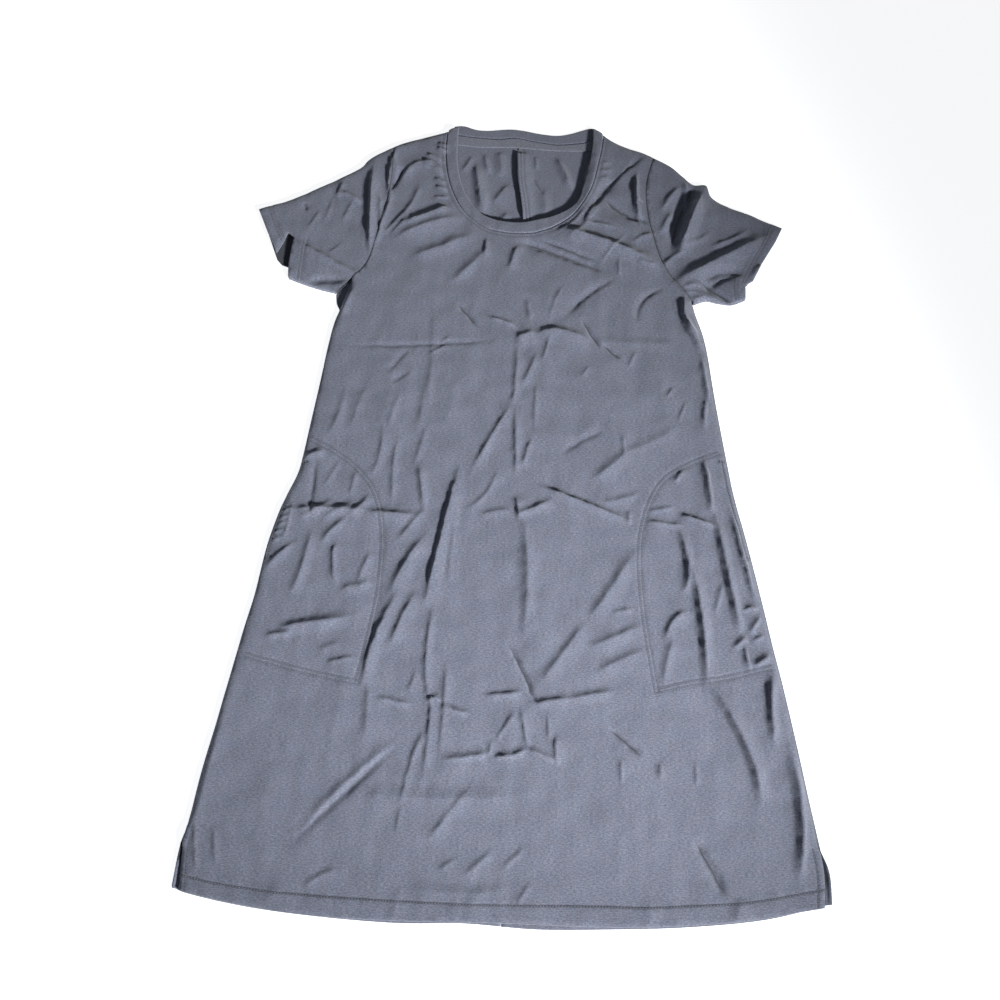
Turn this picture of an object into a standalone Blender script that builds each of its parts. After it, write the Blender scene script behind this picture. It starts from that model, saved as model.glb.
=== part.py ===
"""A short-sleeved T-shirt dress in jersey, laid flat with its front up.

Looking down on it, +X is to the right and +Y runs from the hem to the neck. +Z is up and the floor is z = 0.
Every size is in millimetres until make_object, which turns them into metres.
"""

from collections import namedtuple
import math

import bmesh
import bpy
from mathutils import Vector
from mathutils.geometry import delaunay_2d_cdt
import numpy as np

MM = 0.001

WALL = 1.4  # jersey, as thick all over
BAND_WALL = 2.4  # the neck band is folded double
TAPE_WALL = 1.0
BAG_WALL = 1.0
SEAM = 0.4  # clear space between two pieces
LOFT = 4.0  # how far the front stands above the back
EDGE_ROLL = 9.0  # width over which the cloth comes down to a folded edge
ROLL_LINE = 5.5  # how far inside a folded edge the net has a row of points
FOLD_END = 0.22  # share of a fold's length in which it dies away
UNDERLAP = 9.0  # the left back runs on this far below the lifted edge of the right one
LAP_TOP = 430.0  # between these two heights
LAP_FOOT = 342.0
SIDE_STRIP = 2.5  # width of back that shows outside the right side seam
BAG_INSET = 9.0  # the pocket bags end this far inside the side seams
NET_STEP = 30.0  # spacing of a net's points away from folds
FOLD_STEP = 17.0  # spacing of a net's points along a fold
EDGE_STEP = 19.0  # spacing of points along an outline
HOLE_STEP = 15.0  # along an armhole
NECK_STEP = 12.0  # along the neck

BACK_TOP = WALL + SEAM  # the lowest that a layer over the back may come
BAG_CLEAR = BACK_TOP + BAG_WALL + 2 * SEAM  # the lowest that the front may come over a pocket bag
BAND_CLEAR = BAND_WALL + 2 * SEAM  # the lowest that the front band may come over the back one

Level = namedtuple("Level", "y left right")
Mark = namedtuple("Mark", "x y")
Fold = namedtuple("Fold", "x0 y0 x1 y1 x2 y2 left right height")

# The sides of the body from the armpits down to the slits.
SIDES = (
    Level(180, -226.0, 233.0),
    Level(150, -230.5, 238.0),
    Level(100, -235.5, 243.5),
    Level(50, -241.0, 250.0),
    Level(0, -246.5, 257.0),
    Level(-20, -250.3, 260.0),
    Level(-45, -259.5, 265.0),
    Level(-70, -267.5, 270.8),
    Level(-110, -276.0, 279.0),
    Level(-160, -282.0, 288.7),
    Level(-200, -289.5, 296.0),
    Level(-240, -296.0, 304.0),
    Level(-300, -305.8, 314.5),
    Level(-350, -314.5, 322.5),
    Level(-392, -320.5, 329.5),
)

# Where the neck band meets the front, and the band's free edge, from the left shoulder to the right.
BAND_SEAM = (
    Mark(-100, 472.3), Mark(-101, 450), Mark(-99.5, 420), Mark(-93, 388), Mark(-80, 357), Mark(-62, 336),
    Mark(-36, 319.5), Mark(0, 315), Mark(30, 320), Mark(58, 335.5), Mark(78, 357), Mark(94, 389),
    Mark(102, 425), Mark(107, 452), Mark(109, 474.6),
)
BAND_EDGE = (
    Mark(-84, 482.3), Mark(-86, 452), Mark(-84.5, 421), Mark(-78.5, 390), Mark(-67, 364), Mark(-50, 343.5),
    Mark(-28, 334), Mark(0, 331.5), Mark(28, 338), Mark(51, 346.5), Mark(74, 364.5), Mark(82.5, 391),
    Mark(90, 426), Mark(94, 454), Mark(94, 486.2),
)
# The back neck: the seam between back and band, then the band's top edge.
BACK_NECK = (
    Mark(-97, 472), Mark(-85, 468.5), Mark(-60, 465.7), Mark(-30, 464.3), Mark(-8, 467), Mark(15, 462.5),
    Mark(45, 458), Mark(70, 460), Mark(90, 464.5), Mark(105, 471.5),
)
BACK_BAND_TOP = (
    Mark(-92, 474.8), Mark(-83, 481), Mark(-78, 483.5), Mark(-62, 478.8), Mark(-45, 478), Mark(-18, 481.2),
    Mark(0, 480), Mark(22, 475.6), Mark(45, 473.2), Mark(65, 477), Mark(90, 485.2), Mark(100, 477.5),
)
TAPE_LOWER = (Mark(-94, 453.5), Mark(-60, 450), Mark(-25, 450.8), Mark(0, 450.5), Mark(45, 448), Mark(98, 449))

# Folded shoulder edges, from the neck outwards, and the edges of the sleeves.
SHOULDER_LEFT = (Mark(-100, 472.3), Mark(-120, 465), Mark(-145, 456.5), Mark(-160, 450.7), Mark(-171, 445))
SHOULDER_RIGHT = (Mark(109, 474.6), Mark(122, 464), Mark(140, 454.7), Mark(160, 447.8), Mark(176, 440))
ARMHOLE_LEFT = (
    Mark(-171, 445), Mark(-170, 405), Mark(-171.5, 375), Mark(-177, 343), Mark(-181.5, 312), Mark(-188, 279),
    Mark(-197, 258), Mark(-209, 244), Mark(-228.5, 222),
)
ARMHOLE_RIGHT = (
    Mark(176, 440), Mark(167, 408), Mark(164, 380), Mark(166.5, 348), Mark(172, 320), Mark(181, 284),
    Mark(193, 259.5), Mark(207, 240.5), Mark(222, 222),
)
SLEEVE_TOP_LEFT = (
    Mark(-171, 445), Mark(-192, 432.5), Mark(-205, 421.5), Mark(-213.5, 409.5), Mark(-240, 392),
    Mark(-270, 374), Mark(-300, 357), Mark(-322, 348.5), Mark(-340, 341),
)
SLEEVE_TOP_RIGHT = (
    Mark(176, 440), Mark(198, 427.5), Mark(214, 412.5), Mark(228, 400), Mark(245, 399), Mark(251.5, 380.5),
    Mark(272, 366.5), Mark(300, 355.5), Mark(322, 344.7), Mark(340, 337),
)
UNDERARM_LEFT = (Mark(-228.5, 222), Mark(-250, 227), Mark(-272, 234), Mark(-290, 241))
UNDERARM_RIGHT = (Mark(222, 222), Mark(238, 228), Mark(252, 225.5), Mark(270, 224), Mark(287, 231))
CUFF_LEFT_UPPER = (
    Mark(-340, 341), Mark(-325, 308.5), Mark(-309, 276), Mark(-297, 306), Mark(-289, 299), Mark(-291.5, 262),
    Mark(-290, 241),
)
CUFF_LEFT_LOWER = (
    Mark(-340, 341), Mark(-325, 308.5), Mark(-308, 268), Mark(-302, 261.5), Mark(-292.5, 258), Mark(-290, 241),
)
CUFF_RIGHT_UPPER = (
    Mark(340, 337), Mark(329, 314), Mark(309, 280), Mark(297.5, 256.5), Mark(287.5, 250), Mark(287, 231),
)
CUFF_RIGHT_LOWER = (
    Mark(340, 337), Mark(329, 314), Mark(306, 280), Mark(292, 254), Mark(284.5, 247), Mark(287, 231),
)

# The hems from left to right, and the edges of the slits above their corners.
FRONT_HEM = (
    Mark(-320.5, -463), Mark(-285, -469), Mark(-240, -475.5), Mark(-180, -480.8), Mark(-90, -482),
    Mark(0, -480.5), Mark(90, -480.5), Mark(170, -477.5), Mark(250, -469.5), Mark(329, -455),
)
BACK_HEM = (
    Mark(-328.5, -461), Mark(-310, -467), Mark(-250, -476.5), Mark(-180, -482.5), Mark(-100, -485.5),
    Mark(-30, -483.5), Mark(40, -486.2), Mark(110, -483.8), Mark(190, -479), Mark(270, -469.3),
    Mark(338.3, -452.5),
)
SLIT_LEFT_FRONT = (Mark(-320.5, -400), Mark(-322.5, -425), Mark(-320.5, -463))
SLIT_LEFT_BACK = (Mark(-321.5, -400), Mark(-326, -424), Mark(-328.5, -461))
SLIT_RIGHT_FRONT = (Mark(328, -400), Mark(331, -425), Mark(329, -455))
SLIT_RIGHT_BACK = (Mark(330.5, -400), Mark(338, -424), Mark(338.3, -452.5))

# The edge of the right back along the centre-back seam, from the neck down to where the front hides it.
PLEAT_EDGE = (Mark(-7, 449), Mark(-5.5, 425), Mark(-4, 398), Mark(1, 367), Mark(5, 333), Mark(6, 300))

# The curved stitching that holds each pocket bag, from the side seam round to the side seam.
POCKET_LEFT = (
    Mark(-236, 28), Mark(-205, 11), Mark(-180, -10), Mark(-158, -40), Mark(-147, -85), Mark(-146, -145),
    Mark(-151, -195), Mark(-160, -247), Mark(-200, -241), Mark(-240, -233), Mark(-283, -224),
)
POCKET_RIGHT = (
    Mark(243, 28), Mark(213, 16), Mark(180, -3), Mark(160, -32), Mark(148, -75), Mark(146, -120),
    Mark(152, -180), Mark(165, -250), Mark(200, -241), Mark(240, -234), Mark(290, -221),
)

# Each fold runs from (x0, y0) through (x1, y1) to (x2, y2), upwards or to the right, so that its left is west
# or north of it. It stands height above the cloth, or below it, and reaches left and right to either side.
FRONT_FOLDS = (
    Fold(106, 500, 92, 408, 20, 322, 34, 48, 5.0),
    Fold(82, 352, 118, 402, 160, 458, 8, 9, 7.0),
    Fold(96, 350, 122, 400, 172, 450, 4, 10, -4.0),
    Fold(104, 345, 142, 395, 182, 445, 10, 26, 3.0),
    Fold(153, 350, 150, 384, 151, 418, 4, 4, -4.5),
    Fold(72, 330, 112, 314, 172, 287, 13, 20, 3.5),
    Fold(130, 352, 147, 345, 170, 343, 8, 8, 2.5),
    Fold(5, 301, 52, 286, 112, 266, 3, 4, -3.5),
    Fold(2, 308, 50, 295, 105, 276, 7, 5, 2.5),
    Fold(62, 190, 88, 230, 132, 258, 8, 7, -3.0),
    Fold(157, 200, 161, 229, 186, 244, 6, 6, -2.2),
    Fold(-14, 266, -10, 288, 1, 312, 7, 6, -3.0),
    Fold(-88, 260, -66, 283, -46, 312, 17, 15, -2.5),
    Fold(-182, 303, -132, 323, -84, 348, 12, 27, 5.0),
    Fold(-164, 320, -130, 341, -90, 356, 9, 5, 3.5),
    Fold(-180, 316, -166, 334, -148, 354, 5, 6, 3.0),
    Fold(-173, 370, -161, 394, -144, 420, 4, 6, -4.0),
    Fold(-240, 150, -112, 158, -1, 173, 17, 8, -2.8),
    Fold(2, 174, 46, 180, 98, 176, 12, 15, 4.0),
    Fold(4, 5, 0, 92, 2, 178, 4, 18, 3.0),
    Fold(-60, -22, -36, 27, -10, 72, 5, 13, 3.5),
    Fold(-94, -170, -78, -72, -60, 18, 5, 17, 6.5),
    Fold(50, -240, 103, -170, 152, -96, 15, 19, 3.2),
    Fold(-152, -262, -145, -200, -122, -150, 5, 14, 6.0),
    Fold(-125, -212, -120, -182, -117, -150, 4, 10, 3.5),
    Fold(-140, -162, -118, -121, -88, -86, 9, 18, 4.5),
    Fold(-248, -70, -225, -62, -200, -44, 9, 9, 3.8),
    Fold(-216, -70, -190, -61, -162, -38, 8, 10, 3.8),
    Fold(-250, -165, -237, -122, -228, -88, 10, 12, 2.8),
    Fold(-258, -198, -215, -193, -160, -183, 11, 12, 2.8),
    Fold(216, -240, 221, -190, 209, -118, 7, 9, -5.0),
    Fold(231, -48, 229, -18, 226, 10, 6, 6, -4.5),
    Fold(257, -190, 250, -118, 238, -55, 6, 8, -5.0),
    Fold(208, -145, 211, -105, 207, -60, 7, 12, 3.0),
    Fold(188, -240, 190, -205, 200, -168, 9, 14, 3.0),
    Fold(42, -22, 84, -37, 134, -56, 5, 9, 3.0),
    Fold(10, -52, 28, -42, 50, -34, 6, 6, 2.5),
    Fold(32, -268, 62, -262, 118, -255, 8, 8, 2.8),
    Fold(-80, -368, -74, -305, -75, -235, 7, 7, 3.5),
    Fold(-224, -412, -172, -360, -106, -304, 12, 9, 3.5),
    Fold(-212, -424, -166, -377, -104, -322, 8, 9, -3.0),
    Fold(290, -366, 270, -305, 236, -240, 15, 13, 4.5),
    Fold(314, -425, 319, -370, 313, -315, 15, 5, 4.0),
    Fold(224, 172, 211, 203, 213, 233, 6, 6, -6.0),
    Fold(236, 62, 233, 115, 226, 170, 6, 7, -5.0),
)

SLEEVE_LEFT_FOLDS = (
    Fold(-198, 285, -203, 350, -204, 424, 9, 6, -8.0),
    Fold(-193, 280, -194, 340, -196, 424, 4, 12, 6.5),
    Fold(-184, 315, -187, 350, -188, 388, 3, 4, -3.5),
    Fold(-176, 374, -178, 405, -172, 450, 4, 4, -5.0),
    Fold(-236, 362, -225, 382, -216, 402, 8, 10, 2.5),
    Fold(-290, 301, -245, 277, -198, 252, 5, 6, -4.0),
    Fold(-302, 284, -300, 302, -298, 318, 12, 7, -4.0),
    Fold(-262, 238, -245, 243, -215, 246, 8, 9, -3.5),
    Fold(-262, 330, -252, 352, -246, 376, 10, 12, 2.0),
)

SLEEVE_RIGHT_FOLDS = (
    Fold(197, 302, 212, 348, 238, 408, 11, 9, -9.0),
    Fold(190, 300, 208, 345, 215, 412, 12, 5, 5.0),
    Fold(206, 306, 226, 348, 250, 405, 7, 15, 7.0),
    Fold(186, 285, 200, 298, 222, 306, 5, 6, -3.5),
    Fold(190, 262, 255, 291, 335, 335, 22, 12, -5.5),
    Fold(196, 252, 262, 279, 322, 305, 13, 17, 4.5),
    Fold(210, 252, 248, 254, 284, 262, 9, 11, -7.0),
    Fold(205, 243, 226, 245, 250, 239, 3, 5, -3.0),
    Fold(238, 252, 256, 240, 272, 224, 5, 4, -4.0),
    Fold(215, 314, 232, 322, 248, 336, 4, 5, -2.5),
)

LIFTED_EDGE = Fold(6, 296, -1, 380, -8, 458, 12, 24, 5.0)  # of the right back, beside the pleat
BACK_LEFT_FOLDS = (
    Fold(-30, 370, -27, 410, -29, 452, 18, 13, 5.0),
    Fold(-13, 325, -9, 352, -12, 392, 9, 8, 4.5),
    Fold(-52, 340, -44, 380, -46, 446, 13, 11, 3.5),
    Fold(-72, 368, -66, 405, -60, 446, 9, 9, 4.0),
)
BACK_RIGHT_FOLDS = (
    LIFTED_EDGE,
    Fold(16, 330, 18, 365, 12, 420, 8, 14, 3.5),
    Fold(34, 345, 32, 372, 26, 400, 12, 9, 3.5),
    Fold(66, 395, 58, 425, 44, 447, 10, 9, 4.5),
)


def curve(marks, step):
    """Points along a smooth line through the marks, at most step apart."""
    p = np.array(marks, float)
    p = np.vstack([2 * p[0] - p[1], p, 2 * p[-1] - p[-2]])
    out = []
    for a, b, c, d in zip(p, p[1:], p[2:], p[3:]):
        count = max(1, math.ceil(np.linalg.norm(c - b) / step))
        for t in np.arange(count) / count:
            bend = (2 * a - 5 * b + 4 * c - d) * t**2 + (3 * b - a - 3 * c + d) * t**3
            out.append(b + 0.5 * ((c - a) * t + bend))
    return np.array(out + [p[-2]])


def polygon(marks, step):
    """Points along straight lines through the marks, at most step apart."""
    spans = [curve(pair, step)[:-1] for pair in zip(marks, marks[1:])]
    return np.vstack(spans + [np.array(marks[-1:], float)])


def nearest(points, line):
    """For each point: its distance from the line, the side it is on, and how far along the line it is, 0 to 1."""
    start, span = line[:-1], line[1:] - line[:-1]
    rest = points[:, None] - start[None]
    t = np.clip((rest * span).sum(2) / np.maximum((span * span).sum(1), 1e-9), 0, 1)
    off = rest - t[..., None] * span
    far = np.hypot(off[..., 0], off[..., 1])
    k = far.argmin(1)
    row = np.arange(len(points))
    side = span[k, 0] * off[row, k, 1] - span[k, 1] * off[row, k, 0]
    return far[row, k], side, (k + t[row, k]) / len(span)


def smooth(t):
    t = np.clip(t, 0, 1)
    return t * t * (3 - 2 * t)


def fold_line(fold, count):
    ends = np.array([[fold.x0, fold.y0], [fold.x1, fold.y1], [fold.x2, fold.y2]])
    middle = 2 * ends[1] - (ends[0] + ends[2]) / 2
    t = np.linspace(0, 1, count)[:, None]
    return (1 - t) ** 2 * ends[0] + 2 * t * (1 - t) * middle + t * t * ends[2]


# Broad, low swells of the front, which need no points of their own.
SWELLS = (
    Fold(36, -240, 26, -140, 14, -50, 18, 75, 1.6),
    Fold(-190, -330, -170, -250, -168, -150, 45, 35, 1.5),
    Fold(-40, -420, -60, -330, -40, -240, 40, 55, 1.5),
    Fold(110, -430, 130, -360, 105, -280, 45, 60, 1.6),
    Fold(-260, -430, -240, -380, -235, -320, 35, 35, 1.3),
    Fold(100, -40, 118, 40, 95, 130, 40, 45, 1.6),
    Fold(-180, 10, -150, 80, -160, 145, 40, 45, 1.5),
    Fold(-95, 20, -70, 90, -75, 160, 35, 35, 1.2),
    Fold(60, 200, 20, 225, -40, 245, 30, 35, 1.3),
    Fold(-170, 190, -130, 225, -120, 280, 35, 35, 1.4),
    Fold(190, 30, 180, 90, 170, 160, 35, 30, 1.4),
)
TOP_FOLDS = FRONT_FOLDS + SLEEVE_LEFT_FOLDS + SLEEVE_RIGHT_FOLDS + SWELLS


def rise(points, folds):
    """The height that the folds add at each point."""
    total = np.zeros(len(points))
    for fold in folds:
        far, side, along = nearest(points, fold_line(fold, 13))
        reach = np.where(side > 0, fold.left, fold.right)
        ends = smooth(np.minimum(along, 1 - along) / FOLD_END)
        total += fold.height * smooth(1 - far / reach) * ends
    return total


def rolled(points, edges):
    """0 on a folded edge, rising as a quarter circle to 1 at EDGE_ROLL inside it."""
    near = np.min([nearest(points, edge)[0] for edge in edges], axis=0)
    inside = np.clip(near / EDGE_ROLL, 0, 1)
    return np.sqrt(1 - (1 - inside) ** 2)


def within(points, outline):
    """Which points lie inside a closed outline."""
    x, y = points[:, 0, None], points[:, 1, None]
    a, b = outline, np.roll(outline, -1, axis=0)
    spans = (a[:, 1] > y) != (b[:, 1] > y)
    slope = (b[:, 0] - a[:, 0]) / np.where(b[:, 1] == a[:, 1], 1e-9, b[:, 1] - a[:, 1])
    return (spans & (x < a[:, 0] + slope * (y - a[:, 1]))).sum(1) % 2 == 1


def side_of(line):
    """The unit normals to the left of a line, at each of its points."""
    along = np.gradient(line, axis=0)
    return np.stack([-along[:, 1], along[:, 0]], 1) / np.linalg.norm(along, axis=1)[:, None]


def fold_points(fold):
    length = np.linalg.norm(np.diff(fold_line(fold, 9), axis=0), axis=1).sum()
    return fold_line(fold, max(3, round(length / FOLD_STEP) + 1))


def crests(outline, folds):
    """The line along each fold's crest, where it runs inside the outline."""
    loop = np.vstack([outline, outline[:1]])
    lines = []
    for fold in folds:
        line = fold_points(fold)
        inside = within(line, outline) & (nearest(line, loop)[0] > 3.5)
        run = [point for point, kept in zip(line, inside) if kept]
        if len(run) > 1:
            lines.append(np.array(run))
    return lines


def scatter(outline, folds, step, beside=()):
    """Points for the inside of a net: beside folded edges, along each fold's feet, then an even grid."""
    found, room = [], []
    for edge in beside:
        for way in (1, -1):
            found.extend(edge + way * ROLL_LINE * side_of(edge))
            room.extend([6.0] * len(edge))
    for fold in folds:
        line = fold_points(fold)
        for reach, way in ((fold.left, 1), (fold.right, -1)):
            found.extend(line + way * reach * side_of(line))
            room.extend([min(reach, 9.0) * 0.8] * len(line))
    low, high = outline.min(0), outline.max(0)
    for row, y in enumerate(np.arange(low[1] + step / 2, high[1], step * 0.87)):
        for x in np.arange(low[0] + step / (1 + row % 2), high[0], step):
            found.append((x, y))
            room.append(step * 0.5)
    found = np.array(found)
    loop = np.vstack([outline, outline[:1]])
    far = np.min([nearest(found, line)[0] for line in crests(outline, folds) + [loop]], axis=0)
    kept, gaps = [], []
    for point, gap, inside, clear in zip(found, room, within(found, outline), far):
        if not inside or clear < max(2.2, gap * 0.8):
            continue
        if kept and (np.hypot(*(np.array(kept) - point).T) < np.maximum(gap, 0.6 * np.array(gaps))).any():
            continue
        kept.append(point)
        gaps.append(gap)
    return np.array(kept)


Net = namedtuple("Net", "points triangles placed")


def net(outline, inner, lines=()):
    """Triangles that fill an outline through the inner points, with the lines among their edges."""
    points = [Vector(p) for p in outline]
    edges = []
    for line in lines:
        first = len(points)
        points += [Vector(p) for p in line]
        edges += [(first + i, first + i + 1) for i in range(len(line) - 1)]
    points += [Vector(p) for p in inner]
    made, _, faces, sources, _, _ = delaunay_2d_cdt(points, edges, [list(range(len(outline)))], 1, 1e-5)
    placed = {source: index for index, group in enumerate(sources) for source in group}
    return Net(np.array([tuple(v) for v in made]), [tuple(face) for face in faces], placed)


def border(triangles):
    """The directed edges that only one triangle has."""
    edges = {(t[i], t[(i + 1) % 3]) for t in triangles for i in range(3)}
    return [(a, b) for a, b in edges if (b, a) not in edges]


def make_object(name, vertices, faces, colour, roughness):
    mesh = bpy.data.meshes.new(name)
    mesh.from_pydata([tuple(MM * c for c in v) for v in vertices], [], faces)
    shell = bmesh.new()
    shell.from_mesh(mesh)
    bmesh.ops.recalc_face_normals(shell, faces=shell.faces)
    shell.to_mesh(mesh)
    shell.free()
    material = bpy.data.materials.new(name + "_cloth")
    material.use_nodes = True
    shader = material.node_tree.nodes["Principled BSDF"]
    shader.inputs["Base Color"].default_value = (*colour, 1)
    shader.inputs["Roughness"].default_value = roughness
    mesh.materials.append(material)
    thing = bpy.data.objects.new(name, mesh)
    bpy.context.scene.collection.objects.link(thing)
    return thing


def slab(name, cloth, under, wall, colour):
    """A closed sheet over a net: its underside at the heights given, its top one wall above."""
    count = len(cloth.points)
    low = [(x, y, z) for (x, y), z in zip(cloth.points, under)]
    high = [(x, y, z + wall) for x, y, z in low]
    faces = [(c, b, a) for a, b, c in cloth.triangles]
    faces += [(a + count, b + count, c + count) for a, b, c in cloth.triangles]
    faces += [(a, b, b + count, a + count) for a, b in border(cloth.triangles)]
    return make_object(name, low + high, faces, colour, 0.9)


def part_of(cloth, outline):
    """The part of a net whose triangles lie inside an outline."""
    centres = np.array([cloth.points[list(t)].mean(0) for t in cloth.triangles])
    kept = [t for t, inside in zip(cloth.triangles, within(centres, outline)) if inside]
    used = sorted({i for t in kept for i in t})
    index = {old: new for new, old in enumerate(used)}
    return Net(cloth.points[used], [tuple(index[i] for i in t) for t in kept], {}), used


JERSEY = (0.150, 0.155, 0.185)
JERSEY_INSIDE = (0.135, 0.140, 0.170)
RIB = (0.145, 0.150, 0.180)
TAPE = (0.165, 0.168, 0.195)


def front_side_right():
    """The front's right edge, which lies inside the back's."""
    marks = [Mark(220, 219), Mark(223.5, 203)] + [Mark(row.right - SIDE_STRIP, row.y) for row in SIDES[:-1]]
    return curve(marks + [SLIT_RIGHT_FRONT[0]], EDGE_STEP)


def front_side_left():
    marks = [Mark(-210, 238), Mark(-214.5, 222), Mark(-221, 198)] + [Mark(row.left, row.y) for row in SIDES[:-1]]
    return curve(marks + [SLIT_LEFT_FRONT[0]], EDGE_STEP)


def front_outline():
    """Clockwise from the left shoulder: neck, right shoulder, armhole, side, hem, left side, armhole."""
    right_hole = [m for m in curve(ARMHOLE_RIGHT, HOLE_STEP) if m[1] > 226]
    left_hole = [m for m in curve(ARMHOLE_LEFT, HOLE_STEP) if m[1] > 243]
    parts = [
        curve(BAND_SEAM, NECK_STEP),
        curve(SHOULDER_RIGHT, EDGE_STEP)[1:-1],
        np.array(right_hole),
        front_side_right()[:-1],
        curve(SLIT_RIGHT_FRONT, EDGE_STEP),
        curve(FRONT_HEM, EDGE_STEP)[::-1][1:],
        curve(SLIT_LEFT_FRONT, EDGE_STEP)[::-1][1:],
        front_side_left()[::-1][1:],
        np.array(left_hole)[::-1],
        curve(SHOULDER_LEFT, EDGE_STEP)[::-1][1:-1],
    ]
    return np.vstack(parts)


def front_folded_edges():
    return [
        curve(SHOULDER_RIGHT, EDGE_STEP),
        curve(SHOULDER_LEFT, EDGE_STEP),
        front_side_right(),
        front_side_left(),
    ]


def front_under(points):
    """The height of the front's underside."""
    lift = np.maximum(LOFT + rise(points, TOP_FOLDS), 0.0)
    return BACK_TOP + rolled(points, front_folded_edges()) * lift


def pocket_outlines():
    """The two bags: the curved stitching, closed by a line inside the side seam."""
    bags = []
    for marks, sides in ((POCKET_LEFT, "left"), (POCKET_RIGHT, "right")):
        line = curve(marks, EDGE_STEP)
        inward = BAG_INSET if sides == "left" else -BAG_INSET - SIDE_STRIP
        rows = [row for row in SIDES if marks[-1].y + 8 < row.y < marks[0].y - 8][::-1]
        side = np.array([(getattr(row, sides) + inward, row.y) for row in rows])
        first = np.array([[np.interp(marks[0].y, [r.y for r in SIDES[::-1]],
                                     [getattr(r, sides) for r in SIDES[::-1]]) + inward, marks[0].y]])
        last = np.array([[np.interp(marks[-1].y, [r.y for r in SIDES[::-1]],
                                    [getattr(r, sides) for r in SIDES[::-1]]) + inward, marks[-1].y]])
        line = np.vstack([first, line[1:-1], last])
        bags.append(np.vstack([line, side]))
    return bags


def build_front():
    outline = front_outline()
    bags = pocket_outlines()
    inner = scatter(outline, FRONT_FOLDS, NET_STEP, front_folded_edges())
    for bag in bags:
        loop = np.vstack([bag, bag[:1]])
        inner = inner[nearest(inner, loop)[0] > 3.5]
    cloth = net(outline, inner, crests(outline, FRONT_FOLDS) + [np.vstack([bag, bag[:1]]) for bag in bags])
    under = front_under(cloth.points)
    for bag in bags:
        loop = np.vstack([bag, bag[:1]])
        held = within(cloth.points, bag) | (nearest(cloth.points, loop)[0] < 0.5)
        under = np.where(held, np.maximum(under, BAG_CLEAR), under)
    slab("front_panel", cloth, under, WALL, JERSEY)
    for name, bag in zip(("pocket_bag_left", "pocket_bag_right"), bags):
        lining, used = part_of(cloth, bag)
        slab(name, lining, under[used] - SEAM - BAG_WALL, BAG_WALL, JERSEY_INSIDE)


def build_band_front():
    seam = curve(BAND_SEAM, NECK_STEP)
    edge = curve(BAND_EDGE, NECK_STEP)
    middle = np.array([seam[-1] * 0.5 + edge[-1] * 0.5 + (1.5, 1.0)])
    outline = np.vstack([seam + SEAM * side_of(seam), middle, edge[::-1]])
    cloth = net(outline, (seam[1:-1] + edge[np.linspace(1, len(edge) - 2, len(seam) - 2).round().astype(int)]) / 2)
    under = np.maximum(front_under(cloth.points), BAND_CLEAR)
    slab("neckband_front", cloth, under, BAND_WALL, RIB)


def opening():
    return curve(BAND_EDGE, NECK_STEP)


def back_under(points, folds):
    """The height of the back's underside: folds where the neck is open, flat on the floor elsewhere."""
    outline = opening()
    depth = np.where(within(points, outline), nearest(points, outline)[0], 0.0)
    free = smooth(depth / 14.0)
    covered = np.maximum(front_under(points) - WALL - 2 * SEAM - 1.0, 0.0)
    lift = rise(points, folds)
    below_tape = smooth((TAPE_LOWER[-2].y - 3.0 - points[:, 1]) / 14.0)
    lift = np.minimum(lift, covered) * (1 - free) + lift * free
    near_neck = smooth((points[:, 1] - 306.0) / 24.0)
    return np.maximum(lift, 0.0) * below_tape * near_neck


def centre_back(shift):
    """The centre-back seam from neck to hem, moved sideways by shift."""
    lower = [Mark(PLEAT_EDGE[-1].x, y) for y in (200, 60, -90, -230, -360)]
    line = np.vstack([curve((Mark(-7.5, 466.5),) + PLEAT_EDGE, 14), lower])
    return line + (shift, 0)


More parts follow.
